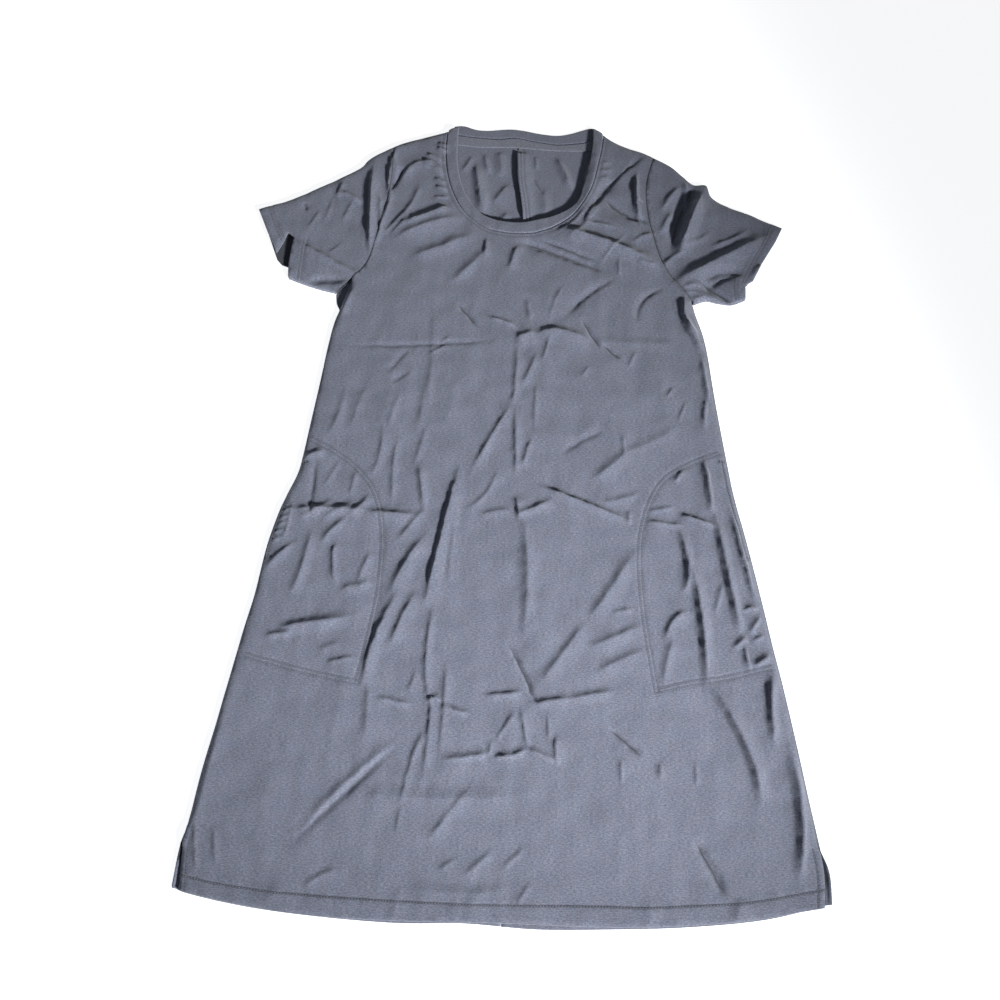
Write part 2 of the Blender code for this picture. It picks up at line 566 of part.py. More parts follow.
def build_backs():
    hem = curve(BACK_HEM, EDGE_STEP)
    foot = PLEAT_EDGE[-1].x
    foot_y = np.interp(foot, hem[:, 0], hem[:, 1])
    neck = curve(BACK_NECK, NECK_STEP)
    side_left = [Mark(-228, 220.5), Mark(-226, 208), Mark(-221.5, 197)]
    side_left += [Mark(row.left, row.y) for row in SIDES[:-1]]
    side_right = [Mark(222, 220.5), Mark(223.7, 212), Mark(226.5, 202)]
    side_right += [Mark(row.right, row.y) for row in SIDES[:-1]]
    seam = centre_back(0.0)
    left_seam = centre_back(-SEAM)
    lapped = smooth(np.minimum(LAP_TOP - seam[:, 1], seam[:, 1] - LAP_FOOT) / 12.0)
    left_seam[:, 0] += lapped * (UNDERLAP + SEAM)
    left = np.vstack([
        neck[neck[:, 0] < -12],
        left_seam,
        [(foot - SEAM, foot_y)],
        hem[hem[:, 0] < foot - 5][::-1],
        curve(SLIT_LEFT_BACK, EDGE_STEP)[::-1][1:-1],
        curve(side_left, EDGE_STEP)[::-1],
        curve(ARMHOLE_LEFT, HOLE_STEP)[::-1][1:],
        curve(SHOULDER_LEFT, EDGE_STEP)[::-1][1:-1] - (0, 1.0),
    ])
    right = np.vstack([
        neck[neck[:, 0] > -2],
        curve(SHOULDER_RIGHT, EDGE_STEP)[1:-1] - (0, 1.0),
        curve(ARMHOLE_RIGHT, HOLE_STEP)[:-1],
        curve(side_right, EDGE_STEP),
        curve(SLIT_RIGHT_BACK, EDGE_STEP)[1:-1],
        hem[hem[:, 0] > foot + 5][::-1],
        [(foot, foot_y)],
        seam[::-1],
    ])
    rest = curve(TAPE_LOWER, NECK_STEP)
    rest = rest[np.abs(rest[:, 0] + 6) > 4] - (0, 3.0)
    for name, outline, folds in (("back_left", left, BACK_LEFT_FOLDS), ("back_right", right, BACK_RIGHT_FOLDS)):
        inner = scatter(outline, folds, 60.0)
        near = scatter(outline, (), 13.0)
        near = near[(np.abs(near[:, 0]) < 95) & (near[:, 1] > 322) & (near[:, 1] < 446)]
        clear = [np.hypot(*(inner - p).T).min() > 6.5 for p in near]
        inner = np.vstack([inner, near[clear]])
        ridges = crests(outline, [fold for fold in folds if fold is not LIFTED_EDGE])
        ridges = [line[line[:, 1] < rest[:, 1].min() - 4] for line in ridges]
        cloth = net(outline, inner[nearest(inner, rest)[0] > 4.0], ridges + [rest[within(rest, outline)]])
        under = back_under(cloth.points, folds)
        if name == "back_left":
            beside = np.interp(cloth.points[:, 1], seam[::-1, 1], seam[::-1, 0]) - cloth.points[:, 0]
            under *= smooth((beside - 3.0) / 5.0)
        slab(name, cloth, under, WALL, JERSEY_INSIDE)


def build_neck_trim():
    seam = [m for m in curve(BACK_NECK, NECK_STEP) if -92 < m[0] < 101]
    seam = np.array([(-92, 470.4)] + seam + [(101, 469.7)])
    top = curve(BACK_BAND_TOP, NECK_STEP)
    band = net(np.vstack([seam[::-1] + (0, 0.7), top]), ())
    slab("neckband_back", band, np.zeros(len(band.points)), BAND_WALL, RIB)
    lower = curve(TAPE_LOWER, NECK_STEP)
    upper = seam[(seam[:, 0] > -91) & (seam[:, 0] < 97)] - (0, 0.6)
    tape = net(np.vstack([lower, upper[::-1]]), ())
    slab("neck_tape", tape, np.full(len(tape.points), BACK_TOP), TAPE_WALL, TAPE)


Sleeve = namedtuple("Sleeve", "name top under armhole cuff_upper cuff_lower folds shift")
SLEEVES = (
    Sleeve("sleeve_left", SLEEVE_TOP_LEFT, UNDERARM_LEFT, ARMHOLE_LEFT, CUFF_LEFT_UPPER, CUFF_LEFT_LOWER,
           SLEEVE_LEFT_FOLDS, -0.6),
    Sleeve("sleeve_right", SLEEVE_TOP_RIGHT, UNDERARM_RIGHT, ARMHOLE_RIGHT, CUFF_RIGHT_UPPER, CUFF_RIGHT_LOWER,
           SLEEVE_RIGHT_FOLDS, 0.6),
)


def toward(start, goal, distance):
    step = goal - start
    return start + step / np.linalg.norm(step) * distance


def build_sleeve(row):
    """A tube pressed flat: an upper and a lower wall that share two folded edges, open at cuff and armhole."""
    shift = np.array([row.shift, 0.0])
    inset = WALL + 0.3
    armhole = curve(row.armhole, HOLE_STEP) + shift
    cuffs = [polygon(cuff, HOLE_STEP) for cuff in (row.cuff_upper, row.cuff_lower)]
    edges, insets = [], []
    for marks, end in ((row.top, 0), (row.under, -1)):
        edge = curve(marks, HOLE_STEP)
        edge[0] = armhole[end]
        edge[-1] = cuffs[0][end]
        beside = 1 if end == 0 else -2
        normal = side_of(edge)
        middle = (armhole[len(armhole) // 2] + cuffs[0][len(cuffs[0]) // 2]) / 2
        if np.sign(((middle - edge[len(edge) // 2]) * normal[len(edge) // 2]).sum()) < 0:
            normal = -normal
        inner = edge + inset * normal
        inner[0] = toward(edge[0], armhole[beside], inset)
        inner[-1] = toward(edge[-1], cuffs[0][beside], inset)
        edges.append(edge)
        insets.append(inner)

    def under(points):
        lift = np.maximum(LOFT + rise(points, TOP_FOLDS), 0.0)
        return BACK_TOP + rolled(points, edges) * lift

    nets = []
    for cuff, folds, step, beside in ((cuffs[0], row.folds, 22.0, edges), (cuffs[1], (), 60.0, ())):
        outline = np.vstack([insets[0], cuff[1:-1], insets[1][::-1], armhole[1:-1][::-1]])
        inner = scatter(outline, folds, step, beside)
        nets.append(net(outline, inner, crests(outline, folds)))
    vertices, faces = [], []

    def add(points, heights):
        first = len(vertices)
        vertices.extend((x, y, z) for (x, y), z in zip(points, heights))
        return first

    upper, lower = nets
    high = under(upper.points)
    roof = add(upper.points, high + WALL)
    ceiling = add(upper.points, high)
    floor = add(lower.points, [WALL] * len(lower.points))
    base = add(lower.points, [0.0] * len(lower.points))
    for first, cloth in ((roof, upper), (ceiling, upper), (floor, lower), (base, lower)):
        faces += [tuple(first + i for i in t) for t in cloth.triangles]
    outline_ids = len(insets[0]), len(insets[1])
    shared = set()
    starts = (0, None)
    first_under = len(insets[0]) + len(cuffs[0][1:-1]), len(insets[0]) + len(cuffs[1][1:-1])
    for side, (edge, inner) in enumerate(zip(edges, insets)):
        count = len(inner)
        if side == 0:
            in_upper = [upper.placed[i] for i in range(count)]
            in_lower = [lower.placed[i] for i in range(count)]
        else:
            in_upper = [upper.placed[first_under[0] + count - 1 - i] for i in range(count)]
            in_lower = [lower.placed[first_under[1] + count - 1 - i] for i in range(count)]
        rim_high = add(edge, [BACK_TOP + WALL * 0.4] * count)
        rim_low = add(edge, [WALL * 0.3] * count)
        for i in range(count - 1):
            j = i + 1
            faces.append((rim_high + i, rim_high + j, roof + in_upper[j], roof + in_upper[i]))
            faces.append((rim_low + i, rim_low + j, base + in_lower[j], base + in_lower[i]))
            faces.append((rim_high + i, rim_high + j, rim_low + j, rim_low + i))
            faces.append((ceiling + in_upper[i], ceiling + in_upper[j], floor + in_lower[j], floor + in_lower[i]))
            shared.add(("upper", frozenset((in_upper[i], in_upper[j]))))
            shared.add(("lower", frozenset((in_lower[i], in_lower[j]))))
        for i in (0, count - 1):
            loop = (rim_low + i, rim_high + i, roof + in_upper[i], ceiling + in_upper[i],
                    floor + in_lower[i], base + in_lower[i])
            faces += [(loop[0], loop[1], loop[2]), (loop[0], loop[2], loop[3]),
                      (loop[0], loop[3], loop[4]), (loop[0], loop[4], loop[5])]
    for which, cloth, above, below in (("upper", upper, roof, ceiling), ("lower", lower, floor, base)):
        for a, b in border(cloth.triangles):
            if (which, frozenset((a, b))) not in shared:
                faces.append((above + a, above + b, below + b, below + a))
    make_object(row.name, vertices, faces, JERSEY, 0.9)


def main():
    for thing in list(bpy.data.objects):
        bpy.data.objects.remove(thing)
    build_front()
    build_band_front()
    build_backs()
    build_neck_trim()
    for row in SLEEVES:
        build_sleeve(row)


main()
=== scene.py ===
"""The looks of the T-shirt dress: fine cloth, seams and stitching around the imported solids.

Looking down on the dress, +X is to the right, +Y runs from the hem to the neck and +Z is up. Sizes are in
millimetres until make_piece, which turns them into metres.
"""

from collections import namedtuple
import math

import bmesh
import bpy
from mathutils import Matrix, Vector, noise
from mathutils.bvhtree import BVHTree
from mathutils.geometry import delaunay_2d_cdt
import numpy as np

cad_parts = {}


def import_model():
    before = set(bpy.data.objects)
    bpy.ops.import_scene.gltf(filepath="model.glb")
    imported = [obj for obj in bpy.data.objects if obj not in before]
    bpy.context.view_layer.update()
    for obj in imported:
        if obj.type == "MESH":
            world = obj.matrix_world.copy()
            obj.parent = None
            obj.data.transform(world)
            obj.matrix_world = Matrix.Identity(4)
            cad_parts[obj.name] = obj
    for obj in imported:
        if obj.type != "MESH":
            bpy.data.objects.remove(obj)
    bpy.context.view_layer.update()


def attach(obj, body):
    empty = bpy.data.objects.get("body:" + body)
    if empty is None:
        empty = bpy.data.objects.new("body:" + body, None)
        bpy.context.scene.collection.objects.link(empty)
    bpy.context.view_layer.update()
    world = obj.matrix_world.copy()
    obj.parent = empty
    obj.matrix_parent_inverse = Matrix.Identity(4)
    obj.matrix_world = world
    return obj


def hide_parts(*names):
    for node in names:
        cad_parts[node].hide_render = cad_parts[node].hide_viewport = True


MM = 0.001

# The solids' own sizes.
WALL = 1.4
BAND_WALL = 2.4
TAPE_WALL = 1.0
BAG_WALL = 1.0
SEAM = 0.4
LOFT = 4.0
EDGE_ROLL = 9.0
FOLD_END = 0.32
UNDERLAP = 15.0
LAP_TOP = 464.0
LAP_FOOT = 318.0
SIDE_STRIP = 2.5
BAG_INSET = 9.0
BACK_TOP = WALL + SEAM
BAG_CLEAR = BACK_TOP + BAG_WALL + 2 * SEAM
BAND_CLEAR = BAND_WALL + 2 * SEAM

# What only shows close up.
LINE_STEP = 3.0  # spacing of points along an outline
EDGE_INSET = 0.8  # width over which a cut edge is rounded
EDGE_HEIGHT = 0.45  # share of the wall left at a cut edge
HEM_TURN = 19.0
CUFF_TURN = 16.0
SLIT_TURN = 7.0
SLIT_CURL = 2.6  # how far the back lifts at the edge of a slit
TURN_HEIGHT = 0.55  # what a turned hem adds
GROOVE = 0.5  # depth of a stitched row
GROOVE_REACH = 1.7
# How much painted shade darkens the cloth along each kind of stitched row.
ROW_PAINTED_SHADE = {"hem": 1.0, "slit": 0.7, "neck": 0.5, "pocket": 0.5, "mouth": 1.0}
ROW_STEP = 2.4
STITCH = 2.3
STITCH_PITCH = 3.1
STITCH_WIDTH = 0.42
STITCH_RISE = 0.3
TWIN = 4.5  # between the two rows round a pocket
MOUTH = 5.0  # the row along a pocket mouth, from the side edge
BARTACK = 3.0  # half the length of the dense stitches that end a pocket mouth
WANDER = 1.0  # how far a crease strays from its smooth line
GAIN_AT = (-300.0, -200.0, 230.0, 290.0)
GAIN = (2.55, 2.85, 2.85, 3.1)
ALONG = 0.55  # creases that run with the light are raised by up to 1 / ALONG
GENTLE = 1.3  # how much wider the flank that faces the light is than the part of it that shows
LAMP = np.array((1050.0, -1100.0, 840.0))  # where the key light is: fitted to the photograph's tones, rounded
READ_BELOW = 8.0  # how far below the cloth the plane lies on which its lines are given
EYE = np.array((-2.5, -281.3, 840.0))  # where the camera is
BEND = 0.016  # how much the height bends before the mesh gets finer
DEEP_LEAN = 2.5  # how steep the flanks in DEEP_FLANKS may be
NECK_ROW = 4.6  # the stitched row below the neck band
CUFF_TWIN = 3.6  # between the two rows round a cuff
SLEEVE_INSET = WALL + 0.3  # from a sleeve's folded edge to where its walls begin
COVERED_LIFT = 1.6  # the most that a fold lifts the back where the front covers it
THREAD_STEP = 0.5  # spacing of the places at which a stitch can begin
THREAD_FORM = ((0.0, 0.25, -0.12), (0.25, 0.9, 0.8), (0.75, 0.9, 0.8), (1.0, 0.25, -0.12))  # along, width, height

Level = namedtuple("Level", "y left right")
Mark = namedtuple("Mark", "x y")
Fold = namedtuple("Fold", "x0 y0 x1 y1 x2 y2 left right height")


def as_marks(*rows):
    return tuple(Mark(*row) for row in rows)


def as_folds(*rows):
    return tuple(Fold(*row) for row in rows)


SIDES = tuple(Level(*row) for row in (
    (180, -226.0, 233.0), (150, -230.5, 238.0), (100, -235.5, 243.5), (50, -241.0, 250.0), (0, -246.5, 257.0),
    (-20, -250.3, 260.0), (-45, -259.5, 265.0), (-70, -267.5, 270.8), (-110, -276.0, 279.0),
    (-160, -282.0, 288.7), (-200, -289.5, 296.0), (-240, -296.0, 304.0), (-300, -305.8, 314.5),
    (-350, -314.5, 322.5), (-392, -320.5, 329.5),
))
BAND_SEAM = as_marks(
    (-100, 472.3), (-101, 450), (-99.5, 420), (-93, 388), (-80, 357), (-62, 336), (-36, 319.5), (0, 315),
    (30, 320), (58, 335.5), (78, 357), (94, 389), (102, 425), (107, 452), (109, 474.6),
)
BAND_EDGE = as_marks(
    (-85.5, 477.5), (-86, 452), (-84.5, 421), (-78.5, 390), (-67, 364), (-50, 343.5), (-28, 334), (0, 331.5),
    (28, 338), (51, 346.5), (74, 364.5), (82.5, 391), (90, 426), (94, 454), (95, 481.0),
)
BACK_NECK = as_marks(
    (-97, 472), (-85, 468.5), (-60, 465.7), (-30, 464.3), (-8, 467), (15, 462.5), (45, 458), (70, 460),
    (90, 464.5), (105, 471.5),
)
BACK_BAND_TOP = as_marks(
    (-92, 483), (-84, 484.5), (-76, 483.5), (-62, 478.8), (-45, 478), (-18, 481.2), (0, 480), (22, 475.6),
    (45, 473.2), (65, 477), (90, 486.5), (100, 484.5),
)
TAPE_LOWER = as_marks((-94, 453.5), (-60, 450), (-25, 450.8), (0, 450.5), (45, 448), (98, 449))
SHOULDER_LEFT = as_marks((-100, 472.3), (-120, 465), (-145, 456.5), (-160, 450.7), (-171, 445))
SHOULDER_RIGHT = as_marks((109, 474.6), (122, 464), (140, 454.7), (160, 447.8), (176, 440))
ARMHOLE_LEFT = as_marks(
    (-171, 445), (-170, 405), (-171.5, 375), (-177, 343), (-181.5, 312), (-188, 279), (-197, 258),
    (-209, 244), (-228.5, 222),
)
ARMHOLE_RIGHT = as_marks(
    (176, 440), (167, 408), (164, 380), (166.5, 348), (172, 320), (181, 284), (193, 259.5), (207, 240.5),
    (222, 222),
)
SLEEVE_TOP_LEFT = as_marks(
    (-171, 445), (-192, 432.5), (-205, 421.5), (-213.5, 409.5), (-240, 392), (-270, 374), (-300, 357),
    (-322, 348.5), (-340, 341),
)
SLEEVE_TOP_RIGHT = as_marks(
    (176, 440), (198, 427.5), (214, 412.5), (228, 400), (245, 399), (251.5, 380.5), (272, 366.5),
    (300, 355.5), (322, 344.7), (340, 337),
)
UNDERARM_LEFT = as_marks((-228.5, 222), (-250, 227), (-272, 234), (-290, 241))
UNDERARM_RIGHT = as_marks((222, 222), (238, 228), (252, 225.5), (270, 224), (287, 231))
CUFF_LEFT_UPPER = as_marks(
    (-340, 341), (-325, 308.5), (-309, 276), (-297, 306), (-289, 299), (-291.5, 262), (-290, 241),
)
CUFF_LEFT_LOWER = as_marks((-340, 341), (-325, 308.5), (-308, 268), (-302, 261.5), (-292.5, 258), (-290, 241))
CUFF_RIGHT_UPPER = as_marks((340, 337), (329, 314), (309, 280), (297.5, 256.5), (287.5, 250), (287, 231))
CUFF_RIGHT_LOWER = as_marks((340, 337), (329, 314), (306, 280), (292, 254), (284.5, 247), (287, 231))
FRONT_HEM = as_marks(
    (-320.5, -463), (-285, -469), (-240, -475.5), (-180, -480.8), (-90, -482), (0, -480.5), (90, -480.5),
    (170, -477.5), (250, -469.5), (329, -455),
)
BACK_HEM = as_marks(
    (-328.5, -461), (-310, -467), (-250, -476.5), (-180, -482.5), (-100, -485.5), (-30, -483.5), (40, -486.2),
    (110, -483.8), (190, -479), (270, -469.3), (338.3, -452.5),
)
SLIT_LEFT_FRONT = as_marks((-320.5, -400), (-322.5, -425), (-320.5, -463))
SLIT_LEFT_BACK = as_marks((-321.5, -400), (-326, -424), (-328.5, -461))
SLIT_RIGHT_FRONT = as_marks((328, -400), (331, -425), (329, -455))
SLIT_RIGHT_BACK = as_marks((330.5, -400), (338, -424), (338.3, -452.5))
PLEAT_EDGE = as_marks((-7, 449), (-5.5, 425), (-4, 398), (1, 367), (5, 333), (6, 300))
POCKET_LEFT = as_marks(
    (-236, 24), (-205, 8), (-178, -12), (-155, -42), (-144, -87), (-143, -147), (-149, -197), (-158, -253),
    (-200, -246), (-240, -238), (-283, -228),
)
POCKET_RIGHT = as_marks(
    (243, 24), (213, 11), (182, -8), (163, -36), (151, -78), (149, -122), (154, -180), (165, -250),
    (200, -241), (240, -234), (290, -221),
)
HEM_ROW = as_marks(
    (-321, -448), (-280, -455), (-220, -460.5), (-140, -463.5), (-20, -464.5), (90, -462), (150, -461),
    (200, -457.5), (260, -451.5), (331, -438),
)
CUFF_ROW_LEFT = as_marks((-327, 344), (-313, 312), (-305, 296))
CUFF_ROW_LEFT_LOW = as_marks((-275, 297), (-276, 270), (-277, 240))
CUFF_ROW_RIGHT = as_marks((325, 339), (311, 309), (300, 288), (289, 266), (284, 255))
CUFF_ROW_RIGHT_LOW = as_marks((274, 262), (273, 243), (274, 229))

# Each fold runs from (x0, y0) through (x1, y1) to (x2, y2), upwards or to the right, so that its left is west
# or north of it. It stands height above the cloth, or below it, and reaches left and right to either side.
SWELLS = as_folds(
    (66, 330, 94, 398, 99, 484, 16, 26, 3.6), (-172, 318, -124, 336, -78, 362, 16, 30, 3.2),
    (68, 352, 122, 334, 182, 300, 22, 20, 2.6), (196, 252, 256, 283, 312, 322, 16, 22, 1.6),
    (36, -240, 26, -140, 14, -50, 18, 75, 1.6), (-190, -330, -170, -250, -168, -150, 45, 35, 1.5),
    (-40, -420, -60, -330, -40, -240, 40, 55, 1.5), (110, -430, 130, -360, 105, -280, 45, 60, 1.6),
    (-260, -430, -240, -380, -235, -320, 35, 35, 1.3), (100, -40, 118, 40, 95, 130, 40, 45, 1.6),
    (-180, 10, -150, 80, -160, 145, 40, 45, 1.5), (-95, 20, -70, 90, -75, 160, 35, 35, 1.2),
    (60, 200, 20, 225, -40, 245, 30, 35, 1.3), (-170, 190, -130, 225, -120, 280, 35, 35, 1.4),
    (190, 30, 180, 90, 170, 160, 35, 30, 1.4),
)
# The creases on the front and the sleeves: (x0, y0, x1, y1, x2, y2, left, right, height). Each line runs
# along the steep flank that turns away from the light: left of a ridge's crest, right of a trough's bottom.
FLANKS = as_folds(
    # left sleeve and armhole
    (-182, 318, -184, 345, -188, 380, 3, 4, 1.6), (-168, 392, -168, 411, -168, 430, 2, 3, 0.8),
    (-278, 316, -269, 333, -263, 349, 3, 6, 0.9), (-258, 328, -252, 348, -250, 368, 4, 6, 0.7),
    (-232, 332, -227, 348, -221, 363, 4, 6, 1.0), (-242, 367, -241, 380, -236, 393, 5, 6, 1.3),
    (-238, 377, -222, 372, -207, 360, 5, 6, 1.6), (-246, 284, -237, 291, -228, 300, 3, 5, 0.6),
    (-291, 303, -246, 278, -200, 253, 3, 8, 2.2), (-266, 233, -243, 238, -214, 238, 7, 7, -3.5),
    (-306, 268, -304, 288, -296, 304, 6, 5, -2.5), (-285, 355, -283, 350, -281, 344, 3, 4, -0.7),
    (-222, 195, -217, 214, -209, 236, 4, 8, 2.2),
    # left shoulder and chest
    (-162, 398, -141, 427, -116, 425, 6, 9, 2.4), (-130, 431, -114, 423, -100, 409, 5, 8, 2.2),
    (-127, 440, -115, 437, -102, 427, 4, 6, 1.3), (-112, 460, -106, 457, -99, 456, 3, 5, 1.4),
    (-113, 452, -106, 449, -99, 447, 3, 5, 1.6), (-113, 404, -105, 399, -97, 397, 3, 5, 1.5),
    (-111, 392, -103, 388, -95, 386, 3, 4, 1.9), (-113, 376, -104, 374, -94, 376, 3, 5, 2.2),
    (-108, 360, -102, 358, -95, 357, 3, 5, 0.8), (-166, 310, -121, 334, -80, 347, 9, 19, 3.4),
    (-152, 329, -122, 347, -87, 360, 5, 6, 1.8), (-178, 314, -165, 333, -146, 356, 4, 5, 1.6),
    (-168, 314, -158, 327, -146, 339, 3, 5, 1.3), (-158, 342, -144, 366, -137, 393, 7, 6, 1.3),
    (-140, 288, -105, 301, -62, 325, 12, 12, 2.4), (-88, 248, -63, 276, -43, 300, 10, 10, 1.8),
    (-43, 284, -44, 298, -42, 313, 4, 6, 1.0), (-13, 267, -9, 286, -3, 305, 5, 9, 1.5),
    (44, 326, 70, 343, 91, 376, 3, 4, 1.3), (60, 318, 86, 341, 103, 374, 3, 5, 1.6),
    (107, 435, 112, 436, 118, 439, 3, 4, 1.6), (106, 424, 112, 424, 121, 427, 3, 5, 1.8),
    (104, 411, 111, 412, 119, 414, 3, 4, 1.4),
    # right shoulder and chest
    (104, 408, 126, 419, 147, 452, 8, 8, 3.6), (154, 379, 158, 378, 163, 377, 3, 4, 0.8),
    (108, 377, 133, 353, 170, 338, 5, 6, -2.3), (84, 344, 104, 340, 128, 336, 4, 5, 1.2),
    (146, 314, 160, 324, 177, 331, 4, 6, 1.7), (153, 288, 167, 283, 181, 281, 3, 5, 0.9),
    (104, 281, 119, 302, 139, 328, 3, 3, 0.9), (128, 261, 128, 276, 128, 290, 2.5, 3, 0.6),
    (0, 303, 45, 289, 114, 262, 7, 5, -2.8), (28, 308, 62, 296, 104, 277, 5, 4, -1.1),
    (65, 196, 90, 230, 130, 256, 8, 4, -1.9), (156, 194, 161, 226, 191, 244, 6, 4, -1.5),
    (80, 198, 92, 178, 105, 157, 3, 3, -0.8), (108, 162, 118, 153, 129, 144, 3, 3, -0.8),
    (40, 187, 46, 222, 61, 251, 4, 4, 0.6), (17, 194, 14, 208, 10, 223, 4, 6, 0.7),
    (50, 338, 112, 318, 188, 287, 12, 14, 4.0),
    # right sleeve
    (182, 362, 195, 385, 210, 403, 6, 6, 2.4), (212, 368, 217, 388, 214, 410, 4, 5, 2.2),
    (181, 328, 189, 347, 199, 363, 5, 8, 2.0), (184, 277, 195, 293, 215, 304, 4, 7, 2.2),
    (207, 310, 228, 318, 248, 335, 3, 6, 2.0), (248, 314, 270, 322, 298, 340, 4, 7, 2.0),
    (189, 258, 255, 297, 336, 346, 14, 22, 5.2), (297, 266, 303, 278, 312, 288, 5, 4, 2.6),
    (230, 251, 250, 240, 273, 221, 4, 4, -2.8), (209, 247, 225, 255, 243, 250, 4, 5, 2.2),
    (206, 241, 224, 244, 242, 239, 2.5, 4, 1.1), (215, 227, 240, 239, 266, 226, 3, 5, 2.4),
    # waist, left
    (-207, 150, -112, 154, -27, 164, 5, 3, -1.0), (-106, 146, -96, 152, -84, 159, 3, 5, 0.7),
    (-93, 161, -88, 165, -81, 171, 3, 4, 0.7), (-151, 116, -141, 133, -129, 149, 8, 4, -0.9),
    (-148, 101, -138, 109, -126, 119, 8, 4, -0.8), (-104, 60, -105, 140, -104, 216, 6, 12, 0.5),
    (-76, 214, -64, 199, -50, 182, 4, 4, -1.3), (-222, 34, -213, 62, -207, 100, 7, 8, 1.0),
    (-197, 44, -190, 75, -182, 101, 7, 7, 0.6), (-151, 44, -146, 70, -139, 96, 6, 6, 0.5),
    (-115, 48, -112, 84, -105, 132, 7, 8, 0.7), (-168, -15, -158, 14, -159, 51, 5, 8, 1.0),
    (-137, -50, -141, -10, -137, 38, 4, 7, 0.8), (-118, -2, -110, 26, -107, 51, 5, 7, 0.7),
    (-102, -56, -106, -28, -112, 1, 5, 9, 1.1),
    # waist, middle
    (-2, 171, 10, 178, 24, 184, 7, 14, 3.0), (27, 178, 52, 187, 96, 172, 7, 18, 3.0),
    (98, 176, 150, 173, 206, 176, 10, 10, 0.6), (-34, 200, -16, 195, 2, 187, 4, 5, 1.0),
    (-3, 82, 0, 112, 1, 172, 3, 9, 1.5), (-51, -12, -27, 40, -4, 81, 4, 9, 2.0),
    (4, -10, 3, 30, 1, 76, 3, 8, 1.1), (7, 107, 17, 128, 25, 152, 5, 8, 1.2),
    (12, 2, 16, 20, 22, 39, 4, 6, 1.1), (26, 50, 25, 80, 27, 111, 3, 6, 0.5),
    (32, 138, 37, 157, 42, 177, 4, 4, 0.8), (-51, -51, -29, -31, -17, -1, 3, 7, 1.2),
    (10, -63, 8, -50, 5, -35, 3, 9, 1.5), (8, -54, 27, -46, 50, -34, 4, 8, 1.9),
    (138, -64, 137, -56, 137, -48, 2, 4, 1.0), (61, 17, 85, 34, 113, 49, 8, 5, -0.9),
    (91, -9, 118, 12, 141, 33, 9, 13, 1.4), (131, 20, 132, 32, 131, 46, 3, 3, 0.6),
    (-35, -57, -18, -52, 3, -49, 5, 8, 0.9), (107, -35, 130, -31, 153, -21, 6, 8, 0.9),
    (16, -200, 19, -130, 13, -60, 8, 10, 0.9),
    # waist, right
    (229, 158, 220, 180, 206, 203, 3, 6, 2.0), (236, 92, 232, 120, 228, 155, 3, 4, 1.5),
    (230, 59, 229, 78, 233, 98, 3, 5, 2.0), (184, 97, 189, 104, 194, 112, 3, 4, 0.9),
    (199, 65, 203, 78, 208, 91, 2.5, 3, 0.8), (140, 136, 143, 146, 148, 157, 3, 5, 0.7),
    (82, 120, 86, 128, 91, 137, 3, 4, 0.6), (130, 26, 160, 40, 203, 64, 9, 9, 0.7),
    # left pocket
    (-247, 3, -236, 12, -221, 15, 6, 8, 1.9), (-228, -74, -229, -34, -227, 2, 5, 3, -1.2),
    (-219, -29, -211, -12, -203, 5, 4, 5, 0.7), (-190, -41, -186, -26, -184, -9, 3, 5, 1.0),
    (-245, -69, -226, -57, -207, -44, 5, 7, 1.2), (-219, -68, -202, -58, -184, -46, 5, 7, 1.2),
    (-188, -62, -176, -52, -166, -38, 5, 8, 1.3), (-258, -58, -212, -54, -160, -56, 6, 10, 1.5),
    (-168, -57, -138, -58, -103, -60, 5, 12, 1.2), (-216, -98, -206, -81, -187, -64, 4, 8, 2.0),
    (-278, -132, -264, -112, -245, -97, 4, 8, 2.3), (-262, -97, -256, -72, -254, -49, 2.5, 3, 0.9),
    (-246, -160, -236, -122, -230, -82, 7, 9, 1.7), (-195, -148, -201, -118, -200, -98, 3, 6, 1.4),
    (-171, -144, -166, -125, -159, -107, 4, 6, 0.9), (-191, -150, -172, -144, -153, -139, 6, 10, 1.0),
    (-255, -192, -220, -186, -167, -176, 8, 12, 2.1), (-267, -205, -252, -201, -237, -201, 4, 7, 1.3),
    (-208, -217, -195, -212, -183, -207, 6, 8, 0.7), (-196, -231, -180, -227, -162, -224, 3, 6, 0.8),
    (-263, -62, -258, -59, -252, -56, 2, 3, 1.0), (-266, -70, -261, -68, -255, -65, 2, 3, 1.1),
    (-268, -79, -263, -76, -257, -74, 2, 3, 1.0), (-271, -88, -266, -85, -260, -83, 2, 3, 1.1),
    (-273, -98, -268, -95, -262, -92, 2, 3, 1.0),
    # right of the left pocket
    (-131, -93, -114, -70, -97, -49, 5, 10, 1.3), (-136, -157, -119, -115, -96, -82, 7, 15, 2.6),
    (-149, -312, -150, -280, -151, -248, 8, 18, 1.2), (-128, -209, -120, -182, -104, -149, 6, 12, 2.0),
    (-67, -137, -67, -110, -62, -57, 4, 10, 0.7), (-81, -270, -88, -222, -82, -163, 4, 8, 1.1),
    (-84, -350, -80, -300, -80, -258, 3.5, 9, 1.2), (-68, -330, -65, -270, -66, -228, 3, 7, 0.8),
    (-104, -260, -101, -249, -97, -237, 3, 6, 0.7),
    # right pocket
    (233, -48, 230, -15, 225, 18, 5, 5, 2.0), (190, -9, 196, -3, 202, 6, 4, 5, 1.2),
    (177, -199, 184, -172, 205, -161, 4, 9, 1.7), (172, -241, 176, -215, 184, -191, 7, 8, 1.0),
    (199, -48, 218, -54, 241, -61, 3, 5, 1.9), (159, -47, 175, -43, 192, -40, 3, 6, 1.0),
    (159, -58, 180, -60, 202, -62, 3, 6, 0.8), (263, -161, 272, -154, 284, -156, 3, 5, 1.5),
    (269, -184, 275, -173, 284, -162, 5, 5, 1.9), (250, -200, 259, -192, 266, -185, 5, 6, 1.9),
